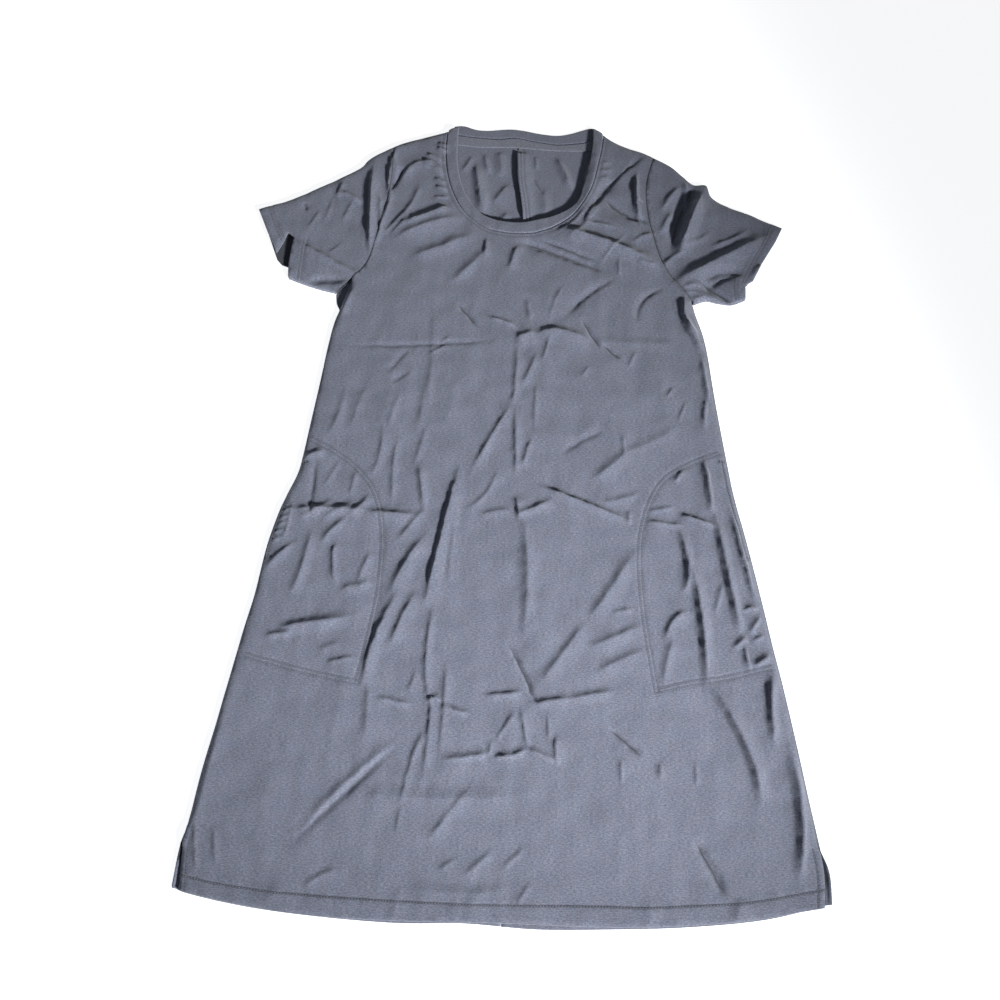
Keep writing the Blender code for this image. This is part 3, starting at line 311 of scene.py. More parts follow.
    (273, -191, 280, -187, 287, -184, 3, 5, 1.4), (270, -226, 265, -212, 263, -198, 3, 4, 1.4),
    (271, -219, 281, -211, 291, -204, 6, 6, 2.0), (231, -166, 236, -148, 242, -127, 4, 5, 0.7),
    (218, -250, 216, -170, 205, -108, 6, 11, 2.2), (259, -188, 248, -122, 236, -44, 5.5, 9, 2.2),
    (196, -140, 203, -108, 191, -60, 5, 9, 1.6),
    # right of the middle
    (36, -246, 62, -210, 90, -172, 7, 14, 1.4), (90, -172, 112, -140, 146, -88, 8, 14, 1.3),
    (89, -203, 122, -190, 154, -174, 6, 12, 0.9), (98, -232, 127, -215, 157, -204, 6, 12, 0.9),
    (118, -166, 130, -163, 142, -159, 3, 6, 0.7), (1, -204, 19, -237, 34, -268, 4, 4, -0.9),
    # skirt
    (-155, -258, -148, -205, -122, -146, 6.5, 12, 2.2), (303, -432, 311, -375, 304, -304, 8, 8, 2.2),
    (270, -364, 258, -304, 218, -236, 7, 14, 1.9), (-137, -266, -118, -269, -100, -273, 3, 6, 0.8),
    (-84, -271, -75, -264, -65, -270, 3, 5, 1.1), (-67, -269, -52, -276, -36, -279, 3, 6, 1.0),
    (72, -259, 95, -254, 120, -250, 5, 9, 1.1), (-7, -307, 2, -292, 13, -276, 3, 5, 1.2),
    (27, -313, 23, -294, 18, -275, 2.5, 5, 0.7), (-12, -321, 9, -320, 29, -312, 3.5, 6, 1.5),
    (-15, -324, -14, -316, -13, -307, 4, 5, 0.9), (27, -312, 43, -318, 59, -325, 3, 5, 0.8),
    (-64, -326, -38, -323, -12, -318, 4.5, 6, 1.1), (-107, -404, -106, -390, -104, -376, 2.5, 5, 0.5),
    (50, -306, 49, -292, 47, -279, 2.5, 4, 0.6), (59, -332, 57, -316, 57, -299, 2.5, 6, 0.9),
    (-97, -330, -91, -314, -84, -299, 4, 8, 0.9), (-105, -374, -100, -346, -92, -310, 3, 7, 1.0),
    (113, -293, 130, -306, 147, -319, 4, 4, -0.9), (126, -346, 126, -334, 126, -321, 2, 4, 0.7),
    (168, -340, 168, -332, 168, -324, 2, 4, 0.6), (206, -346, 206, -334, 206, -321, 2, 4, 0.7),
    (291, -304, 287, -262, 292, -226, 6, 9, 2.2), (199, -399, 214, -424, 228, -451, 6, 7, -1.2),
    (-216, -412, -166, -354, -110, -306, 9, 8, 1.6), (-210, -418, -160, -368, -108, -318, 7, 6, -1.7),
    (-76, -409, -55, -381, -29, -349, 5, 9, 0.9), (-36, -439, -20, -426, -4, -411, 4, 7, 0.8),
    (4, -430, 15, -421, 26, -411, 3, 6, 0.7), (-61, -434, -52, -429, -44, -423, 3, 5, 0.6),
    (20, -463, 26, -454, 33, -444, 3, 5, 0.7), (-199, -456, -180, -443, -164, -438, 4, 8, 0.9),
    (-290, -441, -293, -422, -298, -404, 3, 6, 0.8), (-321, -410, -312, -350, -302, -285, 5, 14, 0.8),
    (-165, -358, -62, -361, 38, -354, 12, 18, 0.5), (-92, -446, -40, -452, 8, -446, 9, 14, 0.5),
    (-240, -476, -236, -466, -233, -452, 10, 14, 0.7), (-112, -486, -106, -470, -104, -452, 11, 15, 0.7),
    (-30, -484, -28, -470, -30, -456, 9, 13, 0.6), (148, -484, 151, -468, 152, -452, 10, 14, 0.7),
    (238, -474, 240, -462, 243, -450, 9, 13, 0.8), (-310, -448, -313, -424, -318, -399, 3, 5, 1.0),
)
# The deepest, whose flanks lie in full shadow.
DEEP_FLANKS = as_folds(
    (278, -146, 267, -98, 255, -42, 3.5, 4, 1.3), (28, -267, 52, -262, 78, -259, 4, 9, 1.1),
    (-22, -259, 0, -258, 21, -254, 2.5, 7, 0.9), (33, -18, 84, -37, 139, -57, 3, 9, 1.3),
    (-195, 284, -200, 350, -202, 424, 6, 10, 3.6), (-174, 366, -178, 405, -171, 450, 4, 6, 2.5),
    (-187, 296, -179, 338, -171, 376, 3.5, 5, 1.5), (-171, 370, -161, 394, -150, 416, 8, 4, -2.5),
    (97, 351, 124, 398, 169, 442, 10, 6, -4.2), (201, 300, 214, 348, 237, 402, 12, 14, 8.0),
    (202, 300, 214, 348, 237, 402, 11, 12, -4.5), (239, 250, 262, 265, 287, 262, 9, 8, -4.2),
    (246, 240, 258, 256, 280, 262, 6, 7, -2.6), (227, 176, 209, 203, 211, 242, 5, 9, 2.6),
    (81, 341, 90, 357, 98, 375, 4, 6, 2.0), (156, 340, 150, 382, 152, 424, 4, 6, 2.2),
    (-94, -167, -82, -90, -63, 4, 5, 16, 2.6),
)
# Shallow creases pressed into the underside.
UNDERSIDE_FOLDS = as_folds(
    (-210, -380, -150, -300, -120, -190, 5, 9, 0.8), (-60, -400, -80, -250, -40, -120, 4, 8, 0.7),
    (60, -330, 110, -240, 120, -120, 6, 9, 0.8), (220, -360, 190, -250, 210, -130, 5, 8, 0.7),
    (-200, -60, -140, 10, -120, 120, 4, 9, 0.8), (60, -40, 120, 30, 190, 60, 5, 8, 0.7),
    (-40, 20, -60, 110, -30, 200, 4, 7, 0.6), (40, 190, 90, 240, 100, 320, 5, 7, 0.7),
    (-150, 200, -120, 260, -60, 290, 4, 8, 0.7), (-130, 360, -120, 400, -110, 440, 4, 6, 0.6),
    (110, 380, 130, 400, 140, 430, 4, 6, 0.6), (-280, -400, -250, -350, -240, -290, 4, 7, 0.6),
)


def side_of(line):
    """The unit normals to the left of a line, at each of its points."""
    along = np.gradient(line, axis=0)
    return np.stack([-along[:, 1], along[:, 0]], 1) / np.linalg.norm(along, axis=1)[:, None]


def crease(flank, lean=1.0):
    """The fold that shows as this dark flank, no steeper than lean: 1 just takes it into full shadow."""
    ends = np.array(flank[:6], float).reshape(3, 2)
    run, light = ends[2] - ends[0], LAMP[:2] - ends[1]
    spread = np.linalg.norm(light)
    facing = max(ALONG, abs(run[0] * light[1] - run[1] * light[0]) / spread / np.linalg.norm(run))
    shadow = facing * spread / LAMP[2]
    way = 1 if flank.height > 0 else -1
    steep, gentle = (flank.left, flank.right)[::way]
    height = np.interp(ends[1, 1], GAIN_AT, GAIN) * abs(flank.height) ** 0.8 / shadow
    most = 0.75 * lean * steep / shadow
    if height > most:
        steep *= math.sqrt(height / most)
        height = 0.75 * lean * steep / shadow
    ends -= way * 0.5 * max(steep, height * shadow) * side_of(ends)
    ends[[0, 2]] += 0.12 * (ends[[0, 2]] - ends[1])
    ends -= (READ_BELOW + 0.5 * way * height) * (ends - EYE[:2]) / EYE[2]
    return Fold(*ends.ravel(), *(steep, GENTLE * gentle)[::way], way * height)


# The front and the two sleeves share one field of folds, so that folds run on across the armhole seams. The
# deepest creases also have a broad low fold at their foot.
TOP_FOLDS = SWELLS + tuple(map(crease, FLANKS)) + tuple(crease(flank, DEEP_LEAN) for flank in DEEP_FLANKS)
TOP_FOLDS += tuple(Fold(*fold[:6], 2.3 * fold.left, 2.2 * fold.right, 0.3 * fold.height) for fold in TOP_FOLDS
                   if abs(fold.height) > 1.8 and fold not in SWELLS)
BACK_LEFT_FOLDS = tuple(map(crease, as_folds(
    (-38, 372, -29, 387, -16, 404, 6, 18, 2.4), (-33, 328, -26, 344, -19, 359, 6, 12, 3.0),
    (-54, 350, -60, 395, -66, 434, 9, 12, 2.8), (-82, 421, -74, 432, -69, 446, 4, 7, 2.2),
    (-45, 416, -49, 430, -53, 447, 4, 7, 1.5),
)))
BACK_LEFT_FOLDS += as_folds(
    (-26, 400, -27, 425, -31, 452, 12, 12, 3.0), (-50, 345, -46, 365, -48, 385, 12, 10, 2.0),
)
# The first is the edge that stands up at the centre-back seam.
BACK_RIGHT_FOLDS = as_folds((6, 296, -1, 380, -10, 484, 12, 26, 7.5)) + tuple(map(crease, as_folds(
    (64, 396, 55, 420, 43, 444, 7, 8, 2.4), (19, 426, 18, 436, 17, 446, 3, 5, 1.2),
    (15, 409, 21, 396, 29, 384, 4, 4, -1.2),
))) + as_folds((34, 345, 33, 368, 28, 392, 12, 12, 2.2))


def curve(marks):
    """Points along a smooth line through the marks, at most LINE_STEP apart."""
    p = np.array(marks, float)
    p = np.vstack([2 * p[0] - p[1], p, 2 * p[-1] - p[-2]])
    out = []
    for a, b, c, d in zip(p, p[1:], p[2:], p[3:]):
        count = max(1, math.ceil(np.linalg.norm(c - b) / LINE_STEP))
        for t in np.arange(count) / count:
            bend = (2 * a - 5 * b + 4 * c - d) * t**2 + (3 * b - a - 3 * c + d) * t**3
            out.append(b + 0.5 * ((c - a) * t + bend))
    return np.array(out + [p[-2]])


def polygon(marks):
    """Points along straight lines through the marks, at most LINE_STEP apart."""
    return np.vstack([curve(pair)[:-1] for pair in zip(marks, marks[1:])] + [marks[-1]])


def even(line, step=LINE_STEP, count=0):
    """The same line with its points spaced evenly: count of them, or about step apart."""
    far = np.concatenate([[0], np.cumsum(np.linalg.norm(np.diff(line, axis=0), axis=1))])
    at = np.linspace(0, far[-1], count or max(2, round(far[-1] / step) + 1))
    return np.stack([np.interp(at, far, line[:, 0]), np.interp(at, far, line[:, 1])], 1)


def nearest(points, line):
    """For each point: its distance from the line, its side, and how far along the line it is, 0 to 1."""
    start, span = line[:-1], line[1:] - line[:-1]
    far, side, along = (np.zeros(len(points)) for _ in range(3))
    for first in range(0, len(points), 4000):
        some = slice(first, first + 4000)
        rest = points[some, None] - start[None]
        t = np.clip((rest * span).sum(2) / np.maximum((span * span).sum(1), 1e-9), 0, 1)
        off = rest - t[..., None] * span
        gap = np.hypot(off[..., 0], off[..., 1])
        k = gap.argmin(1)
        row = np.arange(len(k))
        far[some] = gap[row, k]
        side[some] = span[k, 0] * off[row, k, 1] - span[k, 1] * off[row, k, 0]
        along[some] = (k + t[row, k]) / len(span)
    return far, side, along


def near_box(points, line, reach):
    return ((points > line.min(0) - reach) & (points < line.max(0) + reach)).all(1)


def distance(points, line, reach):
    """The distance from the line, where it is less than reach."""
    far = np.full(len(points), float(reach))
    near = near_box(points, line, reach)
    far[near] = np.minimum(nearest(points[near], line)[0], reach)
    return far


def smooth(t):
    t = np.clip(t, 0, 1)
    return t * t * (3 - 2 * t)


def quarter(t):
    """A quarter circle's rise from 0 to 1."""
    return np.sqrt(1 - (1 - np.clip(t, 0, 1)) ** 2)


def fold_line(fold, count):
    ends = np.reshape(fold[:6], (3, 2))
    middle = 2 * ends[1] - (ends[0] + ends[2]) / 2
    t = np.linspace(0, 1, count)[:, None]
    return (1 - t) ** 2 * ends[0] + 2 * t * (1 - t) * middle + t * t * ends[2]


def crumple(points, size, seed):
    """Soft noise of about that size, from -1 to 1."""
    return np.array([noise.noise((x / size, y / size, seed)) for x, y in points])


def wander(points):
    """How far folds stray sideways from their smooth lines."""
    return WANDER * np.stack([crumple(points, 9, 7), crumple(points, 9, 9)], 1)


def rise(points, folds):
    """The height that the folds add at each point."""
    total = np.zeros(len(points))
    points = points + wander(points) if folds else points
    for fold in folds:
        line = fold_line(fold, 13)
        near = near_box(points, line, max(fold.left, fold.right))
        far, side, along = nearest(points[near], line)
        reach = np.where(side > 0, fold.left, fold.right)
        ends = smooth(np.minimum(along, 1 - along) / FOLD_END)
        inward = np.clip(1 - far / reach, 0, 1)
        total[near] += fold.height * inward**2 * (2 - inward) * ends
    return total


def top_rise(points):
    return rise(points, TOP_FOLDS)


def rolled(points, edges):
    """0 on a folded edge, rising as a quarter circle to 1 at EDGE_ROLL inside it."""
    return quarter(np.min([distance(points, edge, EDGE_ROLL) for edge in edges], axis=0) / EDGE_ROLL)


def within(points, outline):
    """Which points lie inside a closed outline."""
    a, b = outline, np.roll(outline, -1, axis=0)
    slope = (b[:, 0] - a[:, 0]) / np.where(b[:, 1] == a[:, 1], 1e-9, b[:, 1] - a[:, 1])
    inside = np.zeros(len(points), bool)
    for first in range(0, len(points), 8000):
        some = slice(first, first + 8000)
        x, y = points[some, 0, None], points[some, 1, None]
        spans = (a[:, 1] > y) != (b[:, 1] > y)
        inside[some] = (spans & (x < a[:, 0] + slope * (y - a[:, 1]))).sum(1) % 2 == 1
    return inside


def lattice(outline, height, step):
    """Points inside the outline: a coarse lattice, and one twice as fine where the height bends."""
    half = step / 2
    xs, ys = (np.arange(low + half, high, half) for low, high in zip(outline.min(0), outline.max(0)))
    grid = np.stack(np.meshgrid(xs, ys), -1)
    z = height(grid.reshape(-1, 2)).reshape(grid.shape[:2])
    keep = np.zeros(z.shape, bool)
    bend = z[2:, 1:-1] + z[:-2, 1:-1] + z[1:-1, 2:] + z[1:-1, :-2] - 4 * z[1:-1, 1:-1]
    keep[1:-1, 1:-1] = np.abs(bend) > BEND * half**2
    keep[1:] |= keep[:-1].copy()
    keep[:, 1:] |= keep[:, :-1].copy()
    keep[::2, ::2] = True
    return grid[keep][within(grid[keep], outline)]


def clear_of(points, taken, gap, apart=False):
    """The points at least gap from every taken one, and also from each other if they are to be apart."""
    cells = {}
    for x, y in taken:
        cells.setdefault((int(x // gap), int(y // gap)), []).append((x, y))
    kept = []
    for x, y in points:
        i, j = int(x // gap), int(y // gap)
        others = (p for a in (-1, 0, 1) for b in (-1, 0, 1) for p in cells.get((i + a, j + b), ()))
        kept.append(all((x - p[0]) ** 2 + (y - p[1]) ** 2 >= gap * gap for p in others))
        if apart and kept[-1]:
            cells.setdefault((i, j), []).append((x, y))
    return points[np.array(kept, bool)]


Net = namedtuple("Net", "points triangles placed rim")


def net(outline, height, step, rows=(), folds=()):
    """Triangles that fill an outline, with points on stitched rows, on crests and just inside the edge."""
    ring = outline + EDGE_INSET * side_of(np.vstack([outline[-1], outline, outline[0]]))[1:-1]
    if (outline[:, 0] * np.roll(outline[:, 1], -1) - outline[:, 1] * np.roll(outline[:, 0], -1)).sum() < 0:
        ring = 2 * outline - ring
    groups = [outline, clear_of(ring[within(ring, outline)], outline, EDGE_INSET * 0.7)]
    rows = [even(row, ROW_STEP) for row in rows]
    crests = [fold_line(fold, 30) for fold in folds]
    crests = [even(line - wander(line - wander(line)), 2.6) for line in crests]
    for lines, gap, apart in (
        ([row + way * GROOVE_REACH * side_of(row) for row in rows for way in (0, 1, -1)], 1.2, False),
        ([line + way * 1.7 * side_of(line) for way in (0, 1, -1) for line in crests], 1.3, True),
    ):
        points = np.vstack([np.zeros((0, 2))] + lines)
        groups.append(clear_of(points[within(points, outline)], np.vstack(groups), gap, apart))
    dense = np.vstack([even(np.vstack([outline, outline[:1]]), 1.0)] + groups[1:])
    groups.append(clear_of(lattice(outline, height, step), dense, 1.5))
    loop = list(range(len(outline)))
    corners = [Vector(p) for p in np.vstack(groups)]
    made, _, faces, sources, _, _ = delaunay_2d_cdt(corners, [], [loop], 1, 1e-5)
    placed = {source: index for index, group in enumerate(sources) for source in group}
    rim = np.array([bool(group) and group[0] < len(outline) for group in sources])
    return Net(np.array([tuple(v) for v in made]), [tuple(face) for face in faces], placed, rim)


def border(triangles):
    """The directed edges that only one triangle has."""
    edges = {(t[i], t[(i + 1) % 3]) for t in triangles for i in range(3)}
    return [(a, b) for a, b in edges if (b, a) not in edges]


def make_piece(name, vertices, faces, material, node=None, painted_shade=None):
    """A piece of the dress, in metres, that rides on its one body."""
    mesh = bpy.data.meshes.new(name)
    mesh.from_pydata([tuple(MM * c for c in v) for v in vertices], [], faces)
    body = bmesh.new()
    body.from_mesh(mesh)
    bmesh.ops.recalc_face_normals(body, faces=body.faces)
    body.to_mesh(mesh)
    body.free()
    mesh.polygons.foreach_set("use_smooth", [True] * len(mesh.polygons))
    # The painted_shade attribute: how far painted shade darkens the cloth's colour at each point.
    if painted_shade is not None:
        mesh.attributes.new("painted_shade", "FLOAT", "POINT").data.foreach_set("value", np.clip(painted_shade, 0, 1))
    mesh.materials.append(material)
    thing = bpy.data.objects.new(name, mesh)
    bpy.context.scene.collection.objects.link(thing)
    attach(thing, "root")
    if node:
        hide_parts(node)
    return thing


def side_at(heights, side):
    """Where the left or right side edge is at each height."""
    rising = SIDES[::-1]
    return np.interp(heights, [row.y for row in rising], [getattr(row, side) for row in rising])


def side_line(top, side, strip=0.0, foot=()):
    """The line of a side edge, from its own marks below the armhole down to the slit."""
    return curve([*top] + [(getattr(row, side) - strip, row.y) for row in SIDES[:-1]] + [*foot])


FRONT_EDGES = (
    curve(SHOULDER_RIGHT),
    curve(SHOULDER_LEFT),
    side_line(((220, 219), (223.5, 203)), "right", SIDE_STRIP, SLIT_RIGHT_FRONT[:1]),
    side_line(((-210, 238), (-214.5, 222), (-221, 198)), "left", 0.0, SLIT_LEFT_FRONT[:1]),
)


def front_outline():
    right_hole, left_hole = curve(ARMHOLE_RIGHT), curve(ARMHOLE_LEFT)
    right_shoulder, left_shoulder, right_side, left_side = FRONT_EDGES
    return np.vstack([
        curve(BAND_SEAM), right_shoulder[1:-1], right_hole[right_hole[:, 1] > 226], right_side[:-1],
        curve(SLIT_RIGHT_FRONT), curve(FRONT_HEM)[::-1][1:], curve(SLIT_LEFT_FRONT)[::-1][1:],
        left_side[::-1][1:], left_hole[left_hole[:, 1] > 243][::-1], left_shoulder[::-1][1:-1],
    ])


def top_under(points, edges):
    """The height of the upper layer's underside, below the front or a sleeve."""
    streaks = crumple(points @ ((1.0, 0.03), (-0.1, 0.15)), 11, 3)
    lift = (LOFT + top_rise(points) + 1.1 * crumple(points, 26, 1) + 0.5 * crumple(points, 11, 2)
            + 0.45 * streaks)
    return BACK_TOP + rolled(points, edges) * np.maximum(lift, 0.0)


def bag_outlines():
    bags = []
    for marks, side, inward in (
        (POCKET_LEFT, "left", BAG_INSET), (POCKET_RIGHT, "right", -BAG_INSET - SIDE_STRIP),
    ):
        heights = np.linspace(marks[-1].y, marks[0].y, 60)
        bags.append(np.vstack([curve(marks)[1:-1], np.stack([side_at(heights, side) + inward, heights], 1)]))
    return bags


def stitched_rows():
    """Every row on the front, by what it holds."""
    seam, left, right = curve(BAND_SEAM), curve(SLIT_LEFT_FRONT), curve(SLIT_RIGHT_FRONT)
    pocket, mouth = [], []
    for marks, way in ((POCKET_LEFT, 1), (POCKET_RIGHT, -1)):
        for part in (marks[:8], marks[7:]):
            line = curve(part)
            pocket += [line + way * shift * TWIN * side_of(line) for shift in (-0.5, 0.5)]
    for side, inward, top, foot in (("left", MOUTH, -4, -118), ("right", -SIDE_STRIP - MOUTH, 14, -102)):
        heights = np.linspace(foot, top, 40)
        edge = np.stack([side_at(heights, side) + inward, heights], 1)
        mouth.append(edge)
        mouth += [np.array([end - (BARTACK, shift), end + (BARTACK, shift)])
                  for end in (edge[0], edge[-1]) for shift in (-0.8, 0, 0.8)]
    slits = [left + SLIT_TURN * side_of(left), right - SLIT_TURN * side_of(right)]
    neck = [seam - NECK_ROW * side_of(seam)]
    return {"hem": [curve(HEM_ROW)], "pocket": pocket, "neck": neck, "slit": slits, "mouth": mouth}


def grooves(points, rows):
    """How deep the stitching pulls the cloth in, from 0 to 1."""
    return np.max([smooth(1 - distance(points, row, GROOVE_REACH) / GROOVE_REACH) for row in rows], axis=0)


def turned(points, edge, width):
    """1 where a hem is turned up under the cloth, with a step at its end."""
    return smooth((width + 0.8 - distance(points, edge, width + 4)) / 1.6)


def hollows(points, folds, reach=3.0):
    """How far each point lies in a hollow, from the heights around it."""
    ring = [(math.cos(a) * reach, math.sin(a) * reach) for a in np.arange(8) * math.pi / 4]
    return np.mean([rise(points + step, folds) for step in ring], axis=0) - rise(points, folds)


# Painted shade: a thin dark line along a seam.
def painted_seam_shade(points, seam):
    return 0.9 * smooth(1 - distance(points, seam, 3) / 1.6)


def slab(name, node, cloth, under, wall, relief, material, painted_shade):
    """A thin closed shell over a net."""
    low = np.column_stack([cloth.points, under])
    high = np.column_stack([cloth.points, under + np.where(cloth.rim, EDGE_HEIGHT, 1.0) * (wall + relief)])
    count = len(low)
    faces = [(c, b, a) for a, b, c in cloth.triangles]
    faces += [(a + count, b + count, c + count) for a, b, c in cloth.triangles]
    faces += [(a, b, b + count, a + count) for a, b in border(cloth.triangles)]
    return make_piece(name, np.vstack([low, high]), faces, material, node, np.tile(painted_shade, 2))


def build_front(material):
    rows = stitched_rows()
    every = sum(rows.values(), [])
    cloth = net(front_outline(), top_rise, 5.0, every, TOP_FOLDS)
    points = cloth.points
    under = top_under(points, FRONT_EDGES + (curve(SLIT_LEFT_FRONT[1:]),))
    for bag in bag_outlines():
        under = np.where(within(points, bag), np.maximum(under, BAG_CLEAR), under)
    relief = -GROOVE * grooves(points, every)
    relief += (TURN_HEIGHT + 0.4 * crumple(points, 9, 4)) * turned(points, curve(FRONT_HEM), HEM_TURN)
    for slit in (SLIT_LEFT_FRONT, SLIT_RIGHT_FRONT):
        relief += 0.5 * TURN_HEIGHT * turned(points, curve(slit), SLIT_TURN)
    # Painted shade: darker in the folds' hollows, along the stitched rows, and in a line along the armhole seams
    # and the right side edge.
    painted_shade = 0.6 * hollows(points, TOP_FOLDS)
    painted_shade += np.max([dark * grooves(points, rows[kind]) for kind, dark in ROW_PAINTED_SHADE.items()], axis=0)
    for seam in (curve(ARMHOLE_LEFT), curve(ARMHOLE_RIGHT), FRONT_EDGES[2]):
        painted_shade = np.maximum(painted_shade, painted_seam_shade(points, seam))
    return slab("front_cloth", "front_panel", cloth, under, WALL, relief, material, painted_shade), rows


def build_bags(material):
    for bag, side in zip(bag_outlines(), ("left", "right")):
        cloth = net(bag, top_rise, 9.0)
        under = np.maximum(top_under(cloth.points, FRONT_EDGES), BAG_CLEAR) - SEAM - BAG_WALL
        slab(f"pocket_{side}_cloth", f"pocket_bag_{side}", cloth, under, BAG_WALL, 0, material,
             0 * under)


def build_strip(name, node, outer, inner, base, wall, relief, material, across=14):
    """A folded band or tape between two lines that have as many points: rounded along both edges."""
    share = np.concatenate([[0, 0.03, 0.09], np.linspace(0.18, 0.84, across - 6), [0.92, 0.975, 1]])
    top = np.minimum(0.55 + 0.45 * quarter(share / 0.09), 0.5 + 0.5 * quarter((1 - share) / 0.12))
    points = outer[:, None] + (inner - outer)[:, None] * share[None, :, None]
    flat = points.reshape(-1, 2)
    low = base(flat).reshape(points.shape[:2])
    high = low + wall * top[None] + relief(flat).reshape(low.shape)
    under = low + wall * (1 - top[None]) * 0.5
    loops = np.concatenate([np.dstack([points, high]), np.dstack([points, under])[:, ::-1]], 1)
    n, m = loops.shape[:2]
    faces = [(i * m + j, i * m + (j + 1) % m, (i + 1) * m + (j + 1) % m, (i + 1) * m + j)
             for i in range(n - 1) for j in range(m)]
    faces += [tuple(range(m)), tuple((n - 1) * m + j for j in range(m))[::-1]]
    return make_piece(name, loops.reshape(-1, 3), faces, material, node, np.zeros(n * m))


def build_neck(band, tape):
    def waves(points):
        return 0.25 * crumple(points, 14, 5)

    seam = curve(BAND_SEAM)
    front = build_strip(
        "band_front_cloth", "neckband_front", even(seam + SEAM * side_of(seam), count=260),
        even(curve(BAND_EDGE), count=260), lambda p: np.maximum(top_under(p, FRONT_EDGES), BAND_CLEAR),
        BAND_WALL, waves, band)
    seam = curve(BACK_NECK)
    seam = np.vstack([(-92, 470.4), seam[(seam[:, 0] > -92) & (seam[:, 0] < 101)], (101, 469.7)])
    back = build_strip(
        "band_back_cloth", "neckband_back", even(seam, count=150) + (0, 0.7),
        even(curve(BACK_BAND_TOP), count=150), lambda p: np.zeros(len(p)), BAND_WALL, waves, band)
    upper = seam[(seam[:, 0] > -91) & (seam[:, 0] < 97)] - (0, 0.6)
    inside = build_strip(
        "tape_cloth", "neck_tape", even(curve(TAPE_LOWER), count=150), even(upper, count=150),
        lambda p: np.full(len(p), BACK_TOP), TAPE_WALL, lambda p: 0.12 * crumple(p, 7, 6), tape, 12)
    return front, back, inside


def back_under(points, folds):
    """The height of the back's underside: folds where the neck is open, only shallow creases elsewhere."""
    hole = curve(BAND_EDGE)
    near = near_box(points, hole, 0)
    depth = np.zeros(len(points))
    depth[near] = np.where(within(points[near], hole), nearest(points[near], hole)[0], 0.0)
    free = smooth(depth / 14.0)
    lift = rise(points, folds)
    lift = np.minimum(lift, COVERED_LIFT) * (1 - free) + lift * free
    lift *= smooth((TAPE_LOWER[-2].y - 1.0 - points[:, 1]) / 8.0) * smooth((points[:, 1] - 306.0) / 24.0)
    return np.maximum(lift, 0.0) + (1 - free) * rise(points, UNDERSIDE_FOLDS)


def build_backs(material):
    hem, neck = curve(BACK_HEM), curve(BACK_NECK)
    foot = PLEAT_EDGE[-1].x
    foot_y = np.interp(foot, hem[:, 0], hem[:, 1])
    lower = [(foot, y) for y in (200, 60, -90, -230, -360)]
    seam = even(np.vstack([curve(((-7.5, 466.5),) + PLEAT_EDGE), lower]))
    left_seam = seam.copy()
    left_seam[:, 0] += smooth(np.minimum(LAP_TOP - seam[:, 1], seam[:, 1] - LAP_FOOT) / 30.0) * UNDERLAP
    left = np.vstack([
        neck[neck[:, 0] < -12], left_seam, [(foot - SEAM, foot_y)], hem[hem[:, 0] < foot - 3][::-1],
        curve(SLIT_LEFT_BACK)[::-1][1:-1],
        side_line(((-228, 220.5), (-226, 208), (-221.5, 197)), "left")[::-1],
        curve(ARMHOLE_LEFT)[::-1][1:], curve(SHOULDER_LEFT)[::-1][1:-1] - (0, 1.0),
    ])
    right = np.vstack([
        neck[neck[:, 0] > -2], curve(SHOULDER_RIGHT)[1:-1] - (0, 1.0), curve(ARMHOLE_RIGHT)[:-1],
        side_line(((222, 220.5), (223.7, 212), (226.5, 202)), "right"),
        curve(SLIT_RIGHT_BACK)[1:-1], hem[hem[:, 0] > foot + 3][::-1], [(foot, foot_y)], seam[::-1],
    ])
    pleat_rows = [seam[(seam[:, 1] > 320) & (seam[:, 1] < 452)] + (shift, 0) for shift in (5.0, 9.5)]
    left_slit, right_slit = curve(SLIT_LEFT_BACK), curve(SLIT_RIGHT_BACK)
    rows = {
        "back_left": [left_slit + SLIT_TURN * side_of(left_slit)],
        "back_right": pleat_rows + [right_slit - SLIT_TURN * side_of(right_slit)],
    }
    gaps = [curve(slit) for slit in (SLIT_LEFT_FRONT, SLIT_RIGHT_FRONT)]
    fine = [gap + (shift, 0) for gap in gaps for shift in (-5.5, -3, 3, 5.5)]
    pieces = {}
    for name, outline, folds in (
        ("back_left", left, BACK_LEFT_FOLDS), ("back_right", right, BACK_RIGHT_FOLDS),
    ):
        cloth = net(outline, lambda p, folds=folds: back_under(p, folds), 6.0, rows[name] + fine, folds)
        points = cloth.points
        under = back_under(points, folds)
        if name == "back_left":
            beside = np.interp(points[:, 1], seam[::-1, 1], seam[::-1, 0]) - points[:, 0]
            under *= np.where(points[:, 1] > 300, smooth((beside - 3.0) / 5.0), 1)
        groove = grooves(points, rows[name])
        # Painted shade in the folds' hollows and along the stitched rows.
        painted_shade = 0.6 * groove + 0.4 * hollows(points, folds)
        # Painted shadow on the back in a strip beside each of the front's slit edges, fading out towards the hem.
        for gap in gaps:
            beside = distance(points, gap, 8) - 4.2
            painted_shade = np.maximum(painted_shade, smooth(1 - beside / 1.8) * smooth((points[:, 1] + 443) / 12))
        for slit in (left_slit, right_slit):
            edge = distance(points, slit, 8)
            under += SLIT_CURL * smooth((4.5 - edge) / 3.5) * smooth((-404 - points[:, 1]) / 15)
        pieces[name] = slab(
            name + "_cloth", name, cloth, under, WALL, -GROOVE * groove, material, painted_shade)
    return pieces, rows


Sleeve = namedtuple("Sleeve", "node top under armhole cuff_upper cuff_lower rows")
SLEEVES = (
    Sleeve("sleeve_left", SLEEVE_TOP_LEFT, UNDERARM_LEFT, ARMHOLE_LEFT, CUFF_LEFT_UPPER, CUFF_LEFT_LOWER,
           (CUFF_ROW_LEFT, CUFF_ROW_LEFT_LOW)),
    Sleeve("sleeve_right", SLEEVE_TOP_RIGHT, UNDERARM_RIGHT, ARMHOLE_RIGHT, CUFF_RIGHT_UPPER, CUFF_RIGHT_LOWER,
           (CUFF_ROW_RIGHT, CUFF_ROW_RIGHT_LOW)),
)


def toward(start, goal, gap):
    step = goal - start
    return start + step / np.linalg.norm(step) * gap


